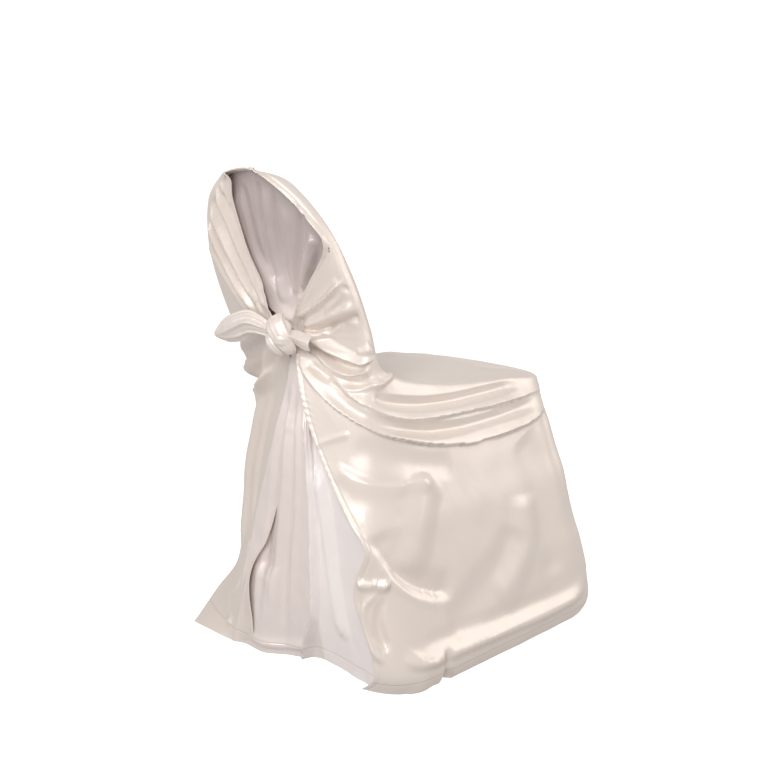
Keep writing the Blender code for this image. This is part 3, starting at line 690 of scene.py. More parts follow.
def hemmed(grid, seed):
    """Sewn edges: a fine groove where each side edge is stitched and, along the right edge, the thread
    draws the cloth into small puckers, cosines along the edge that die away across it and towards the
    floor. Below the knot the left edge stands up in a soft lip, a bell curve across it."""
    normal = normals_of(grid)
    dice = np.random.default_rng(seed)
    lift = np.zeros(grid.shape[:2])
    for side in ("right", "left"):
        away = from_edge(grid, side)
        lift -= HEM_GROOVE * np.exp(-((away - HEM_WIDTH) / HEM_GROOVE_REACH) ** 2)
    edge = grid[:, :1]
    along = reach_along(edge, 0)
    along = along + STITCH_SLIP * np.sin(along / STITCH_SLIP_LENGTH + dice.uniform(0, 6))
    strength = 1 - STITCH_SWELL + STITCH_SWELL * np.sin(along / STITCH_SWELL_LENGTH + dice.uniform(0, 6))
    strength = strength * eased((edge[..., 2] - STITCH_FROM) / STITCH_FADE)
    away = from_edge(grid, "left")
    standing = eased((LEFT_LIP_TOP - grid[..., 2]) / LEFT_LIP_FADE)
    standing = standing * eased((grid[..., 2] - LEFT_LIP_FOOT) / LEFT_LIP_FADE)
    lift += LEFT_LIP * standing * np.exp(-(away / LEFT_LIP_REACH) ** 2)
    away = from_edge(grid, "right")
    puckers = STITCH_DEPTH * strength * np.cos(2 * np.pi * along / STITCH_GAP)
    lift += puckers * np.exp(-(away / STITCH_REACH) ** 2)
    return grid + normal * lift[..., None]


def off_edge(grid):
    """The unit direction that leaves the cloth across its last column."""
    out = grid[:, -1] - grid[:, -3]
    return out / np.maximum(np.linalg.norm(out, axis=1, keepdims=True), SHORTEST)


def tucked(grid, amount, reach, depth):
    """The last column goes on under a neighbour: extra columns leave along the cloth, by reach, and
    sink inwards by depth * share^0.8. The amount, from 0 to 1, is given for each row."""
    out = off_edge(grid)
    share = np.arange(1, TUCK_COLUMNS + 1) / TUCK_COLUMNS
    inwards = np.array((0.0, -1.0, 0.0))
    amount = amount[:, None]
    extra = [grid[:, -1] + out * (TUCK_STEP + reach * amount) * part
             + inwards * depth * amount * part ** TUCK_SINK_POWER for part in share]
    return np.concatenate((grid, np.stack(extra, 1)), 1)


all_folds = in_metres(COVER_FOLDS) | on_cloth(in_metres(HIDDEN_FOLDS), cover_grid)
cover_grid = pressed(cover_grid, all_folds)
cover_grid = gathered(cover_grid, height=0.0022, seed=5, count=4)
cover_grid = wrinkled(cover_grid, size=0.0014, seed=11, finest=0.05, coarsest=0.22)
cover_grid = hemmed(cover_grid, seed=3)
tuck_amount = eased((TUCK_TOP - cover_grid[:, -1, 2]) / TUCK_FADE)
cover_grid = tucked(cover_grid, tuck_amount, TUCK_REACH, TUCK_DEPTH)
cover_grid = stand_on_floor(cover_grid, COVER_WALL)
cover_points = cover_grid.reshape(-1, 3)
print("lowest cover point:", cover_points.min(0).round(3), "highest:", cover_points.max(0).round(3))

# %% [markdown]
# A cut edge of satin is turned under and stitched, and seen from outside that is a small bright roll.
# It is made by carrying the grid past its edge: round a half circle, and back a little way inside.

# %% Turning the edges under
ROLL_TURNS = np.radians((45, 90, 135, 180))
ROLL_TAPER_ROWS = 5.0


def rolled(grid, normal, radius, turned_in):
    """Adds columns beyond the last one: edge + out * r sin(t) + normal * r (cos(t) - 1), then a
    strip that runs back inside. Out is the direction that leaves the cloth across its edge. The
    roll dwindles over the last rows, so that it ends neatly at the top."""
    normal = normal[:, -1]
    out = off_edge(grid)
    rows = len(grid)
    taper = eased((rows - 1 - np.arange(rows)) / ROLL_TAPER_ROWS)[:, None]
    radius, turned_in = radius * taper, turned_in * taper
    extra = [grid[:, -1] + out * radius * np.sin(turn) + normal * radius * (np.cos(turn) - 1)
             for turn in ROLL_TURNS]
    extra += [extra[-1] - out * depth for depth in (turned_in / 2, turned_in)]
    return np.concatenate((grid, np.stack(extra, 1)), 1)


def rolled_sides(grid, radius, turned_in):
    """Both side edges are turned under."""
    grid = rolled(grid, normals_of(grid), radius, turned_in)
    backwards = grid[:, ::-1]
    return rolled(backwards, -normals_of(backwards), radius, turned_in)[:, ::-1]


def rolled_top(grid, radius, turned_in):
    """The top edge is turned under: the same with rows and columns exchanged."""
    swapped, facing = grid.swapaxes(0, 1), normals_of(grid).swapaxes(0, 1)
    return rolled(swapped, facing, radius, turned_in).swapaxes(0, 1)


# %% Grids into meshes
def grid_faces(rows, columns):
    """Four-sided faces between neighbouring rows and columns."""
    corner = np.arange(rows * columns).reshape(rows, columns)
    faces = np.stack((corner[:-1, :-1], corner[:-1, 1:], corner[1:, 1:], corner[1:, :-1]), -1)
    return faces.reshape(-1, 4)


def new_mesh_object(name, points, faces, uv=None):
    """Points and four-sided faces become a smooth mesh; uv gives each point its place on the cloth."""
    mesh = bpy.data.meshes.new(name)
    mesh.vertices.add(len(points))
    mesh.vertices.foreach_set("co", (points + MIDDLE_SHIFT).ravel())
    mesh.loops.add(faces.size)
    mesh.loops.foreach_set("vertex_index", faces.ravel())
    mesh.polygons.add(len(faces))
    mesh.polygons.foreach_set("loop_start", np.arange(0, faces.size, faces.shape[1]))
    mesh.polygons.foreach_set("loop_total", np.full(len(faces), faces.shape[1]))
    mesh.update(calc_edges=True)
    if uv is not None:
        layer = mesh.uv_layers.new(name="cloth")
        layer.data.foreach_set("uv", uv[faces.ravel()].ravel())
    mesh.validate()
    mesh.shade_smooth()
    made = bpy.data.objects.new(name, mesh)
    bpy.context.scene.collection.objects.link(made)
    return made


def cloth_places(grid):
    """How far along and across the cloth each point lies, in metres: running sums of the steps."""
    across = reach_along(grid, 1)
    return np.stack((across - across.mean(1, keepdims=True), reach_along(grid, 0)), -1)


def sheet_object(name, grid):
    faces = grid_faces(*grid.shape[:2])
    return new_mesh_object(name, grid.reshape(-1, 3), faces, cloth_places(grid).reshape(-1, 2))


cover_grid = rolled_top(cover_grid, radius=0.0012, turned_in=0.008)
cover_grid = rolled_sides(cover_grid, radius=0.0011, turned_in=0.0020)
cover = sheet_object("satin_cover", cover_grid)
print("cover triangles:", 2 * len(cover.data.polygons))

# %% [markdown]
# The back panel hangs inside the open back, from the top of the hood to the floor. Above the knot it
# is in the hood's shade, in long soft folds, and its satin paints that shade in as a darker tone; below,
# its right part lies over its left part, and painted light makes that part lighter.

# %% The back panel
PANEL_COLUMNS = ("rows", "height", "left_x", "left_y", "fold_x", "fold_y", "hollow_x", "hollow_y",
                 "right_x", "right_y")
PANEL_STATIONS = ("left", "fold", "hollow", "right")
PANEL_SECTIONS = {
    "floor": (3, 0.000, 0.070, 0.311, -0.056, 0.272, -0.074, 0.240, -0.232, 0.256),
    "low": (3, 0.110, 0.068, 0.300, -0.088, 0.274, -0.104, 0.252, -0.238, 0.262),
    "middle": (3, 0.230, 0.056, 0.284, -0.090, 0.274, -0.106, 0.258, -0.226, 0.266),
    "upper": (3, 0.380, 0.014, 0.272, -0.082, 0.272, -0.092, 0.262, -0.146, 0.264),
    "under knot": (3, 0.500, -0.010, 0.253, -0.052, 0.257, -0.062, 0.254, -0.080, 0.253),
    "knot": (2, 0.575, -0.008, 0.246, -0.020, 0.2475, -0.030, 0.2475, -0.040, 0.2465),
    "above knot": (3, 0.630, 0.062, 0.246, -0.006, 0.244, -0.050, 0.244, -0.080, 0.247),
    "inside hood": (2, 0.720, 0.128, 0.281, 0.030, 0.277, -0.056, 0.277, -0.146, 0.281),
    "high": (2, 0.790, 0.100, 0.306, 0.025, 0.305, -0.045, 0.305, -0.108, 0.307),
    "top": (0, 0.8375, 0.028, 0.3250, 0.008, 0.3256, -0.012, 0.3256, -0.032, 0.3250),
}
PANEL_STEPS_ACROSS = (90, 40, 76)
PANEL_ROWS_FOR_EACH = 8
PANEL_ROUNDING = 0.4
PANEL_FOLDS = {
    "hollow 1": (-7.8, 8, 12, 0.4, (
        (-21, 320, 826), (-11, 309, 800), (3, 293, 761), (16, 277, 720), (24, 262, 678),
        (18, 250, 643))),
    "hollow 2": (-7.8, 8, 12, 0.4, (
        (-55, 316, 813), (-39, 301, 778), (-27, 286, 741), (-18, 267, 700), (-14, 253, 663),
        (-16, 246, 637))),
    "swell 1": (5, 16, 14, 0.1, (
        (-34, 318, 815), (-16, 293, 761), (-2, 271, 710), (4, 253, 657), (0, 245, 622))),
    "swell 2": (5, 18, 14, 0.1, (
        (-73, 305, 785), (-56, 286, 742), (-42, 268, 701), (-30, 253, 664), (-26, 246, 637))),
    "hollow 3": (-7.8, 12, 14, 0.2, (
        (-104, 302, 776), (-87, 288, 742), (-63, 271, 702), (-42, 253, 664), (-32, 246, 632))),
    "bright swell": (10, 14, 14, 0.3, (
        (-122, 288, 737), (-112, 282, 726), (-98, 276, 708), (-72, 264, 680), (-46, 252, 648))),
    "hollow 4": (-7.8, 14, 14, 0.2, (
        (-141, 287, 733), (-128, 279, 711), (-105, 270, 688), (-74, 256, 655))),
    "against the left wing": (8, 34, 44, 0, (
        (52, 318, 822), (70, 296, 761), (70, 281, 719), (60, 262, 677), (46, 247, 640),
        (36, 245, 610), (20, 246, 580))),
    "left hollow": (-3, 12, 14, 0.1, (
        (22, 320, 823), (34, 294, 761), (38, 278, 719), (30, 262, 677))),
    "behind the knot": (5, 30, 30, 0, (
        (10, 256, 670), (6, 246, 640), (0, 245, 610), (-6, 246, 585))),
    "low left hollow": (-6, 16, 16, 0.2, (
        (-18, 258, 480), (-4, 270, 380), (9, 280, 275), (20, 287, 176), (24, 295, 60))),
    "low left fold": (5, 14, 14, 0.2, (
        (-24, 256, 490), (-22, 271, 377), (-17, 275, 281), (-8, 281, 182), (-3, 288, 60))),
    "low middle hollow": (-5, 14, 14, 0.2, (
        (-34, 260, 470), (-40, 272, 360), (-36, 276, 266), (-28, 282, 168), (-22, 284, 50))),
    "low middle fold": (4.5, 12, 12, 0.2, (
        (-46, 262, 451), (-56, 273, 360), (-54, 276, 266), (-47, 280, 168), (-42, 281, 50))),
    "left bulge": (12, 50, 50, 0, (
        (18, 296, 160), (18, 296, 80), (16, 297, 0), (16, 297, -80))),
    "right layer's edge": (16.5, 5, 18, 0.9, (
        (-60, 262, 470), (-82, 272, 380), (-88, 274, 300), (-90, 274, 200), (-86, 274, 100),
        (-60, 272, 20), (-52, 272, -60))),
    "right bright": (14, 26, 20, 0.1, (
        (-100, 264, 360), (-116, 263, 281), (-126, 261, 207), (-138, 257, 132), (-156, 255, 60))),
    "hem bend": (6, 8, 20, 0.5, (
        (60, 309, 20), (30, 300, 17), (-18, 284, 16), (-50, 274, 20), (-62, 262, 26))),
}


def panel_stations(section):
    """The four stations of a panel section, all at one height."""
    at = dict(zip(PANEL_COLUMNS, section))
    return [(at[name + "_x"], at[name + "_y"], at["height"]) for name in PANEL_STATIONS]


PANEL_SEAM = ((0.034, 0.3400, 0.8350), (0.010, 0.3385, 0.8440),
              (-0.012, 0.3385, 0.8440), (-0.036, 0.3400, 0.8410))
PANEL_SEAM_ROWS = 1
PANEL_TUCK_FROM = 0.60
PANEL_TUCK_FADE = 0.05
PANEL_TUCK_REACH = 0.012
PANEL_WALL = 0.0008


def panel_surface():
    """The sections from the floor up, and a last row that is sewn under the edge of the hood's roof."""
    sections = list(PANEL_SECTIONS.values())
    steps = [PANEL_ROWS_FOR_EACH * section[0] for section in sections[:-1]]
    stations = [panel_stations(section) for section in sections] + [list(PANEL_SEAM)]
    rows = through_points(stations, places(steps + [PANEL_ROWS_FOR_EACH * PANEL_SEAM_ROWS]))
    grid = rounded_between(rows, places(PANEL_STEPS_ACROSS), PANEL_ROUNDING)
    grid = pressed(grid, in_metres(PANEL_FOLDS))
    grid = wrinkled(grid, size=0.0012, seed=23, finest=0.03, coarsest=0.10)
    backwards = grid[:, ::-1]
    high = eased((backwards[:, -1, 2] - PANEL_TUCK_FROM) / PANEL_TUCK_FADE)
    grid = tucked(backwards, high, PANEL_TUCK_REACH, depth=0.0)[:, ::-1]
    return stand_on_floor(grid, PANEL_WALL)


panel_grid = rolled_sides(panel_surface(), radius=0.0010, turned_in=0.010)
panel = sheet_object("satin_back_panel", panel_grid)
print("panel triangles:", 2 * len(panel.data.polygons))

# %% [markdown]
# The sash is one long strip whose band is buried in the gathers, so what shows is its knot and two
# ends. Tied satin is a few turns of cloth wound over each other, each turn plump in its middle and
# pinched where it dives under the next. So the knot is made of four wound bands: a broad one slants
# up the middle, one lies across its top, and two small loops sit under them. Their places, counted
# from the middle of the knot, and their sizes are in millimetres.

# %% The knot
BAND_COLUMNS = ("x", "y", "z", "width", "thickness")
KNOT_BANDS = {
    "broad turn": (
        (-20, -6, -30, 18, 10), (-26, 4, -18, 26, 13), (-18, 13, 0, 33, 15), (-6, 14, 16, 36, 16),
        (4, 6, 28, 34, 14), (10, -8, 30, 26, 10)),
    "top turn": (
        (24, -6, 4, 20, 10), (18, 7, 14, 28, 14), (4, 12, 20, 32, 16), (-12, 8, 18, 26, 13),
        (-24, -4, 10, 18, 10)),
    "left loop": (
        (22, -4, 4, 18, 10), (16, 10, -4, 24, 14), (6, 15, -14, 26, 16), (-2, 8, -26, 22, 13),
        (-6, -6, -32, 14, 9)),
    "right loop": (
        (-4, 10, 0, 12, 10), (-12, 17, -4, 18, 13), (-21, 15, -6, 20, 14), (-29, 5, -6, 18, 12),
        (-32, -8, -4, 12, 8)),
}
BAND_ALONG = 40
BAND_AROUND = 56
BAND_GATHERS = (6, 9, 13)
BAND_GATHER_DRIFT = 0.4
BAND_GATHER_HEIGHT = 0.10
BAND_END_POWER = 8
BAND_END_SIZE = 0.02
KNOT_FLATNESS = 0.8
KNOT_CORE_DEPTH = 0.012


def wound_band(stations, seed):
    """A flattened tube along a line. Around it the section is an ellipse with soft lengthwise
    gathers, a sum of cosines. It lies flat towards the knot's core and closes to a point at both
    ends, by the root of 1 - share^8."""
    stations = np.array(stations) / 1000
    where = np.linspace(0, len(stations) - 1, BAND_ALONG)
    at = dict(zip(BAND_COLUMNS, through_points(stations, where).T[:, :, None]))
    line = through_points(stations[:, :3], where)
    heading = np.gradient(line, axis=0)
    heading /= np.linalg.norm(heading, axis=1, keepdims=True)
    out = line * (KNOT_FLATNESS, 1, KNOT_FLATNESS) + (0, KNOT_CORE_DEPTH, 0)
    out -= heading * (out * heading).sum(1, keepdims=True)
    out /= np.linalg.norm(out, axis=1, keepdims=True)
    sideways = np.cross(heading, out)
    turn = np.linspace(0, 2 * np.pi, BAND_AROUND, endpoint=False)[None, :]
    dice = np.random.default_rng(seed)
    gathers = sum(np.cos(count * turn + dice.uniform(0, 6) + BAND_GATHER_DRIFT * np.sin(3 * where[:, None]))
                  for count in BAND_GATHERS) / len(BAND_GATHERS)
    share = np.linspace(-1, 1, BAND_ALONG)[:, None]
    ends = np.sqrt(np.clip(1 - share ** BAND_END_POWER, BAND_END_SIZE, 1))
    swell = ends * (1 + BAND_GATHER_HEIGHT * gathers)
    across = at["width"] / 2 * np.cos(turn) * swell
    lifted = at["thickness"] / 2 * np.sin(turn) * swell
    return KNOT + line[:, None] + sideways[:, None] * across[..., None] + out[:, None] * lifted[..., None]


def tube_faces(rings, around, first):
    """Quads between neighbouring rings and, folded into the same grid, a closing fan at each end."""
    corner = first + np.arange(rings * around).reshape(rings, around)
    after = np.roll(corner, -1, axis=1)
    return np.stack((corner[:-1], after[:-1], after[1:], corner[1:]), -1).reshape(-1, 4)


def knot_object():
    """All the bands in one mesh, each closed by a ring that is gathered to one point at both ends."""
    points, faces, uvs, first = [], [], [], 0
    for seed, stations in enumerate(KNOT_BANDS.values()):
        grid = wound_band(stations, seed)
        tips = [np.repeat(grid[[end]].mean(1, keepdims=True), BAND_AROUND, 1) for end in (0, -1)]
        grid = np.concatenate((tips[0], grid, tips[1]))
        points.append(grid.reshape(-1, 3))
        faces.append(tube_faces(*grid.shape[:2], first))
        uvs.append(cloth_places(grid).reshape(-1, 2))
        first += grid.shape[0] * grid.shape[1]
    points, faces, uvs = (np.concatenate(parts) for parts in (points, faces, uvs))
    return new_mesh_object("sash_knot_wound", points, faces, uvs)


knot = knot_object()
print("knot faces:", len(knot.data.polygons))

# %% [markdown]
# The ends of the sash are short. The left one opens into a leaf whose middle is lifted in a soft
# fold; the right one lies along the gathers and is folded back on itself, so it looks blunt.

# %% The ends of the sash
TAIL_COLUMNS = ("x", "y", "z", "width", "curl", "turn_degrees")
LEFT_TAIL = (
    (0.0000, 0.281, 0.574, 0.020, 0.006, 0),
    (0.045, 0.296, 0.586, 0.042, 0.012, -8),
    (0.080, 0.302, 0.576, 0.052, 0.010, -14),
    (0.112, 0.304, 0.566, 0.042, 0.007, -20),
    (0.134, 0.305, 0.561, 0.010, 0.002, -24),
)
RIGHT_TAIL = (
    (-0.0440, 0.282, 0.573, 0.018, 0.005, 0),
    (-0.072, 0.289, 0.572, 0.024, 0.008, 4),
    (-0.094, 0.291, 0.568, 0.026, 0.008, 8),
    (-0.112, 0.291, 0.567, 0.020, 0.005, 12),
)
TAIL_FOLD_COLUMNS = ("middle", "slope", "half_width", "lift")
LEFT_TAIL_FOLDS = ((0.10, -0.35, 0.30, 0.0050), (-0.62, 0.40, 0.22, 0.0034), (0.72, -0.10, 0.20, -0.0030))
RIGHT_TAIL_FOLDS = ((0.15, 0.20, 0.34, 0.0044), (-0.60, 0.10, 0.26, -0.0030))
TAIL_FOLD_CRISP = 0.3
TAIL_FOLD_FADE = 1.4
TAIL_POINTS_ALONG = 110
TAIL_POINTS_ACROSS = 46


def tail_grid(stations, folds, seed):
    """Across a tail the cloth is an arc curling away from the viewer; its folds run lengthwise, each
    a round bump, (1 - s^2)^2, about a line that drifts from one edge towards the other."""
    line = through_points(stations, np.linspace(0, len(stations) - 1, TAIL_POINTS_ALONG))
    at = {name: values[:, None] for name, values in zip(TAIL_COLUMNS, line.T)}
    along = np.linspace(0, 1, TAIL_POINTS_ALONG)[:, None]
    across = np.linspace(-1.0, 1.0, TAIL_POINTS_ACROSS)[None, :]
    turn = np.radians(at["turn_degrees"])
    up = across * at["width"] / 2
    out = -at["curl"] * across ** 2
    for fold in folds:
        rule = dict(zip(TAIL_FOLD_COLUMNS, fold))
        share = np.abs(across - rule["middle"] - rule["slope"] * (along - 0.5)) / rule["half_width"]
        fade = eased(TAIL_FOLD_FADE - TAIL_FOLD_FADE * along)
        out = out + rule["lift"] * fold_profile(share, TAIL_FOLD_CRISP) * fade
    x = np.broadcast_to(at["x"], up.shape)
    y = at["y"] + out * np.cos(turn) - up * np.sin(turn)
    z = at["z"] + up * np.cos(turn) + out * np.sin(turn)
    return wrinkled(np.stack((x, y, z), -1), size=0.0010, seed=seed, finest=0.02, coarsest=0.06)


def tail_object(name, stations, folds, seed):
    """The grid is turned over where its faces would point inwards, then its edges are turned under."""
    grid = tail_grid(stations, folds, seed)
    if normals_of(grid)[..., 1].mean() < 0:
        grid = grid[:, ::-1]
    return sheet_object(name, rolled_sides(grid, radius=0.0009, turned_in=0.006))


tail_left = tail_object("sash_tail_left_leaf", LEFT_TAIL, LEFT_TAIL_FOLDS, 31)
tail_right = tail_object("sash_tail_right_end", RIGHT_TAIL, RIGHT_TAIL_FOLDS, 32)
print("tails:", len(tail_left.data.polygons), len(tail_right.data.polygons), "faces")

# %% [markdown]
# Satin is a weave whose threads float over several others, all one way, so it shines like a metal in
# a broad soft streak and stays dull elsewhere. A Principled shader with a middling roughness, partly
# metallic, with a thin coat and a little sheen, gives the pearl look; a faint weave and tiny creases
# only disturb the light. The pattern is laid out in metres on the cloth itself, through the UV map,
# and what depends on a place on the object, such as the hem's stitching, reads Object coordinates.

# %% Shader maths as Python expressions
class Value:
    """A number that varies over the surface. Arithmetic on it adds Math nodes."""

    def __init__(self, nodes, socket):
        self.nodes = nodes
        self.socket = socket

    def maths(self, operation, *inputs):
        sockets = {index: value for index, value in enumerate(inputs)}
        return self.nodes.add("ShaderNodeMath", {"operation": operation}, sockets)

    def __add__(self, other):
        return self.maths("ADD", self, other)

    def __sub__(self, other):
        return self.maths("SUBTRACT", self, other)

    def __rsub__(self, other):
        return self.maths("SUBTRACT", other, self)

    def __mul__(self, other):
        return self.maths("MULTIPLY", self, other)

    def size(self):
        return self.maths("ABSOLUTE", self)

    __radd__ = __add__
    __rmul__ = __mul__


class Nodes:
    """The nodes of one material."""

    def __init__(self, name):
        self.material = bpy.data.materials.new(name)
        self.material.use_nodes = True
        self.tree = self.material.node_tree
        self.shader = self.tree.nodes["Principled BSDF"]

    def add(self, kind, settings, inputs, output=0):
        """One node: its settings first, then a value or a link for each named socket."""
        node = self.tree.nodes.new(kind)
        for name, value in settings.items():
            setattr(node, name, value)
        for name, value in inputs.items():
            self.feed(node.inputs[name], value)
        return Value(self, node.outputs[output])

    def mixed(self, share, colour, other):
        """A colour that goes over to another one by a share."""
        return self.add("ShaderNodeMix", {"data_type": "RGBA"},
                        {0: share, 6: colour, 7: (*other, 1.0)}, output=2)

    def step(self, value, low, high, first=0.0, last=1.0):
        """A smooth step from the first number to the last as the value goes from low to high."""
        return self.add("ShaderNodeMapRange", {"interpolation_type": "SMOOTHSTEP"},
                        {"Value": value, "From Min": low, "From Max": high,
                         "To Min": first, "To Max": last})

    def feed(self, socket, value):
        if isinstance(value, Value):
            self.tree.links.new(value.socket, socket)
        else:
            socket.default_value = value

    def surface(self, name, value):
        self.feed(self.shader.inputs[name], value)


# %% Satin
WEAVE_SCALE = 130.0
SATIN_SHEEN = 0.25
SATIN_SPECULAR = 0.60
# Heights over which painted shade darkens the panel as it rises into the hood.
PAINTED_SHADE_FROM = 0.59
PAINTED_SHADE_TO = 0.74
# Where painted light makes the panel's right layer lighter, and how soft the edge of that painted light is.
LAYER_EDGE = -0.088
LAYER_BLUR = 0.004
SATIN_COAT = 0.14
CLOUD_ROUGHNESS = 0.10
WEAVE_ROUGHNESS = 0.05
CREASE_HEIGHT = 0.0009
WEAVE_HEIGHT = 0.00003
HEM_HEIGHT = 0.022
HEM_SEAM_WIDTH = 0.0022
HEM_SEAM_DEPTH = 0.0010
HEM_SHADE = (0.45, 0.37, 0.33)
HEM_SHADE_SHARE = 0.16


def satin(name, light, shade, roughness, metallic, seed, painted_hood_shade=None, painted_layer_light=None):
    """Colour drifts between two ivories in broad clouds, roughness with it, and the bump is the
    slanting line of the weave, a sine about 3.4 mm long, plus creases from stretched noise. The
    threads themselves are too fine to show from the camera. Where a painted hood shade is given,
    the cloth darkens to it as it rises into the hood: painted shade for the hood's shadow. Where a
    painted layer light is given, the cloth has that lighter tone to the right of the upper layer's
    edge: painted light for the upper layer, which is lit brighter.
    A fine line a little above the floor, sunk and darker, is the stitching of the hem."""
    nodes = Nodes(name)
    place = nodes.add("ShaderNodeUVMap", {"uv_map": "cloth"}, {})
    moved = nodes.add("ShaderNodeMapping", {}, {"Vector": place, "Location": (seed, 0.37 * seed, 0.0)})
    clouds = nodes.add("ShaderNodeTexNoise", {}, {"Vector": moved, "Scale": 9.0, "Detail": 3.0})
    stretched = nodes.add("ShaderNodeMapping", {}, {"Vector": moved, "Scale": (1.0, 0.45, 1.0)})
    creases = nodes.add("ShaderNodeTexNoise", {}, {"Vector": stretched, "Scale": 42.0, "Detail": 4.0,
                                                   "Roughness": 0.45})
    weave = nodes.add("ShaderNodeTexWave", {"wave_type": "BANDS", "bands_direction": "DIAGONAL"},
                      {"Vector": moved, "Scale": WEAVE_SCALE, "Distortion": 0.6, "Detail": 1.0})
    colour = nodes.mixed(clouds, (*light, 1.0), shade)
    spot = nodes.add("ShaderNodeTexCoord", {}, {}, output=3)
    height = nodes.add("ShaderNodeSeparateXYZ", {}, {"Vector": spot}, output=2)
    # Painted light: the cloth to the right of the upper layer's edge goes over to a lighter painted tone.
    if painted_layer_light:
        across = nodes.add("ShaderNodeSeparateXYZ", {}, {"Vector": spot}, output=0)
        share = nodes.step(across, LAYER_EDGE - LAYER_BLUR, LAYER_EDGE + LAYER_BLUR, first=1.0, last=0.0)
        colour = nodes.mixed(share, colour, painted_layer_light)
    # Painted shade: the colour goes over to the darker painted tone as the cloth rises into the hood.
    if painted_hood_shade:
        colour = nodes.mixed(nodes.step(height, PAINTED_SHADE_FROM, PAINTED_SHADE_TO), colour, painted_hood_shade)
    seam = nodes.step((height - HEM_HEIGHT).size(), 0.0, HEM_SEAM_WIDTH, first=1.0, last=0.0)
    colour = nodes.mixed(HEM_SHADE_SHARE * seam, colour, HEM_SHADE)
    nodes.surface("Base Color", colour)
    rough = roughness + CLOUD_ROUGHNESS * (clouds - 0.5)
    nodes.surface("Roughness", rough + WEAVE_ROUGHNESS * (weave - 0.5))
    nodes.surface("Metallic", metallic)
    nodes.surface("Sheen Weight", SATIN_SHEEN)
    nodes.surface("Sheen Roughness", 0.45)
    nodes.surface("Sheen Tint", (1.0, 0.95, 0.90, 1.0))
    nodes.surface("Specular IOR Level", SATIN_SPECULAR)
    nodes.surface("Coat Weight", SATIN_COAT)
    nodes.surface("Coat Roughness", 0.30)
    relief = CREASE_HEIGHT * creases + WEAVE_HEIGHT * weave - HEM_SEAM_DEPTH * seam
    bump = nodes.add("ShaderNodeBump", {}, {"Height": relief, "Strength": 0.55, "Distance": 1.0})
    nodes.surface("Normal", bump)
    return nodes.material


cover_satin = satin("cover satin", (0.82, 0.750, 0.695), (0.78, 0.705, 0.648), 0.40, 0.35, 1.0)
# The panel's last two tones are painted: shade high in the hood, and light on its right layer below.
panel_satin = satin("panel satin", (0.81, 0.738, 0.716), (0.77, 0.694, 0.670), 0.37, 0.30, 2.0,
                    (0.540, 0.472, 0.462), (0.90, 0.845, 0.835))
sash_satin = satin("sash satin", (0.83, 0.770, 0.725), (0.79, 0.720, 0.672), 0.36, 0.35, 3.0)
for piece, finish in ((cover, cover_satin), (panel, panel_satin), (knot, sash_satin),
                      (tail_left, sash_satin), (tail_right, sash_satin)):
    piece.data.materials.append(finish)
print("materials:", sorted(finish.name for finish in bpy.data.materials))

# %% [markdown]
# Each piece takes the place of its solid, which is hidden, and rides with the root body.

# %% Joining the pieces to the frame
for piece, node, slot in ((cover, "cover", "cover satin"), (panel, "back_panel", "panel satin"),
                          (knot, "sash_knot", "sash satin"), (tail_left, "sash_tail_left", "sash satin"),
                          (tail_right, "sash_tail_right", "sash satin")):
    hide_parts(node)
    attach(piece, "root")

# %% [markdown]
# The photograph was taken in a plain white studio, so the pale floor curves up into a pale wall all
# round, and every view has the same background. The cloth neither shines with the floor nor is lit
# by it, because that would flatten the folds. The main light is near the camera and is made as two
# lamps, one for light and one for shine, so that each could be set alone. Weaker lamps stand at the
# two sides and in front of the seat, and a pale world adds light from everywhere.

# %% Floor and lamps
FLOOR_GLOW = 0.84
FLOOR_RINGS = (0.02, 1.0, 2.5)
FLOOR_RADIUS = 5.2
WALL_RADIUS = 1.8
WALL_HEIGHT = 3.6
WALL_STEPS = 24
FLOOR_SIDES = 96
WORLD_COLOUR = (1.0, 0.96, 0.935, 1.0)
WORLD_STRENGTH = 0.54
LAMP_AIM = (0.0, 0.0, 0.42)
LAMPS = {
    "key lamp": (12, 2.2, 1.60, (1.0, 1.1), 41.0, (1.0, 0.98, 0.965), "visible_glossy"),
    "shine lamp": (30, 2.2, 1.9, (0.8, 1.5), 17.0, (1.0, 0.98, 0.965), "visible_diffuse"),
    "side lamp": (-90, 2.4, 1.35, (1.5, 1.8), 14.0, (1.0, 0.95, 0.90), None),
    "rear lamp": (75, 2.4, 1.3, (1.2, 1.4), 3.0, (0.99, 0.96, 1.0), None),
    "front lamp": (-165, 2.6, 0.75, (1.0, 1.2), 16.0, (1.0, 0.96, 0.93), "visible_glossy"),
}
camera_heading = np.array((math.sin(-math.radians(CAMERA_TURN)), math.cos(math.radians(CAMERA_TURN))))


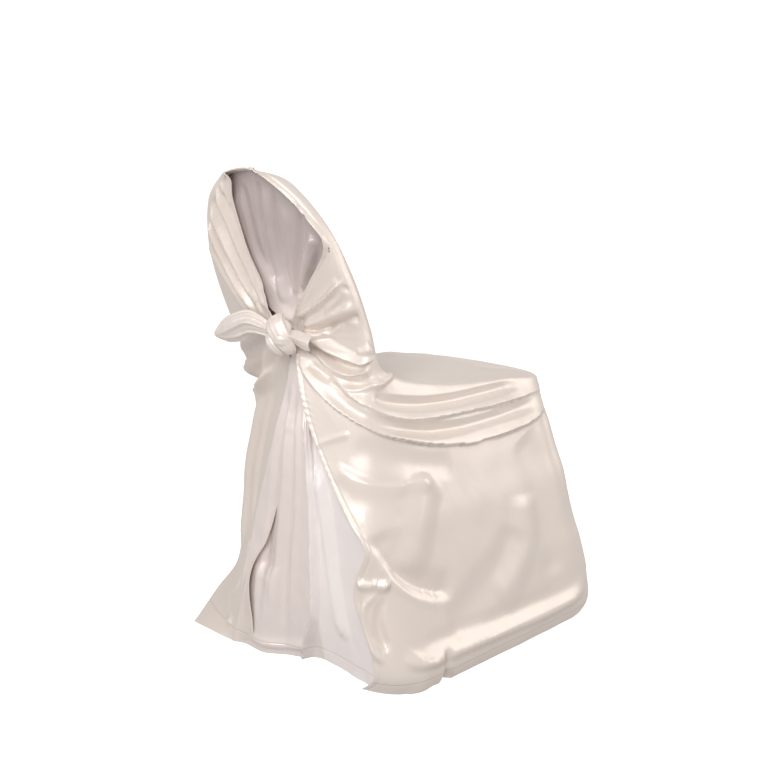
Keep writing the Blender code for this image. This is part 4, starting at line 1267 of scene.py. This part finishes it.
def floor_object():
    """A shallow bowl, so that every view has the same background: flat in the middle, then a quarter
    circle that turns it up into a wall all round."""
    bend = np.linspace(0, np.pi / 2, WALL_STEPS)
    wall = FLOOR_RADIUS + WALL_RADIUS * np.sin(bend)
    out = np.concatenate((FLOOR_RINGS, wall, (FLOOR_RADIUS + WALL_RADIUS,)))[:, None]
    flat = np.zeros(len(FLOOR_RINGS))
    rise = np.concatenate((flat, WALL_RADIUS * (1 - np.cos(bend)), (WALL_HEIGHT,)))[:, None]
    turn = np.linspace(0, 2 * np.pi, FLOOR_SIDES + 1)[None, :]
    grid = np.stack((out * np.sin(turn), out * np.cos(turn), rise + 0 * turn), -1)
    points = grid.reshape(-1, 3) - MIDDLE_SHIFT
    return new_mesh_object("floor", points, grid_faces(*grid.shape[:2])[:, ::-1])


def floor_finish():
    """Painted board: pale, dull and faintly uneven, with a glow of its own that keeps it white."""
    nodes = Nodes("pale floor")
    place = nodes.add("ShaderNodeTexCoord", {}, {}, output=3)
    clouds = nodes.add("ShaderNodeTexNoise", {}, {"Vector": place, "Scale": 3.0, "Detail": 2.0})
    nodes.surface("Base Color", (0.62, 0.62, 0.62, 1.0))
    nodes.surface("Roughness", 0.75 + 0.05 * clouds)
    nodes.surface("Emission Color", (1.0, 1.0, 1.0, 1.0))
    nodes.surface("Emission Strength", FLOOR_GLOW)
    return nodes.material


def add_lamp(name, place, size, power, colour):
    """A rectangle of light that is turned so that its middle faces the aim."""
    lamp = bpy.data.lights.new(name, "AREA")
    lamp.shape = "RECTANGLE"
    lamp.size, lamp.size_y = size
    lamp.energy = power
    lamp.color = colour
    made = bpy.data.objects.new(name, lamp)
    made.location = place
    ray = np.array(LAMP_AIM) - np.array(place)
    turn = math.atan2(-ray[0], ray[1])
    tilt = math.atan2(math.hypot(ray[0], ray[1]), -ray[2])
    made.rotation_euler = (tilt, 0.0, turn)
    bpy.context.scene.collection.objects.link(made)
    return made


def around(azimuth, distance, height):
    """A place at an angle round from the camera's side, seen from above, clockwise."""
    base = math.atan2(-camera_heading[1], -camera_heading[0]) - math.radians(azimuth)
    return (distance * math.cos(base), distance * math.sin(base), height)


floor = floor_object()
floor.data.materials.append(floor_finish())
floor.visible_glossy = False
floor.visible_diffuse = False
for name, (azimuth, distance, height, size, power, colour, hidden) in LAMPS.items():
    lamp = add_lamp(name, around(azimuth, distance, height), size, power, colour)
    if hidden:
        setattr(lamp, hidden, False)
world = bpy.data.worlds.new("pale studio")
world.use_nodes = True
world.node_tree.nodes["Background"].inputs["Color"].default_value = WORLD_COLOUR
world.node_tree.nodes["Background"].inputs["Strength"].default_value = WORLD_STRENGTH
bpy.context.scene.world = world
bpy.context.scene.view_settings.view_transform = "Standard"
print("lamps:", sorted(lamp.name for lamp in bpy.data.lights))
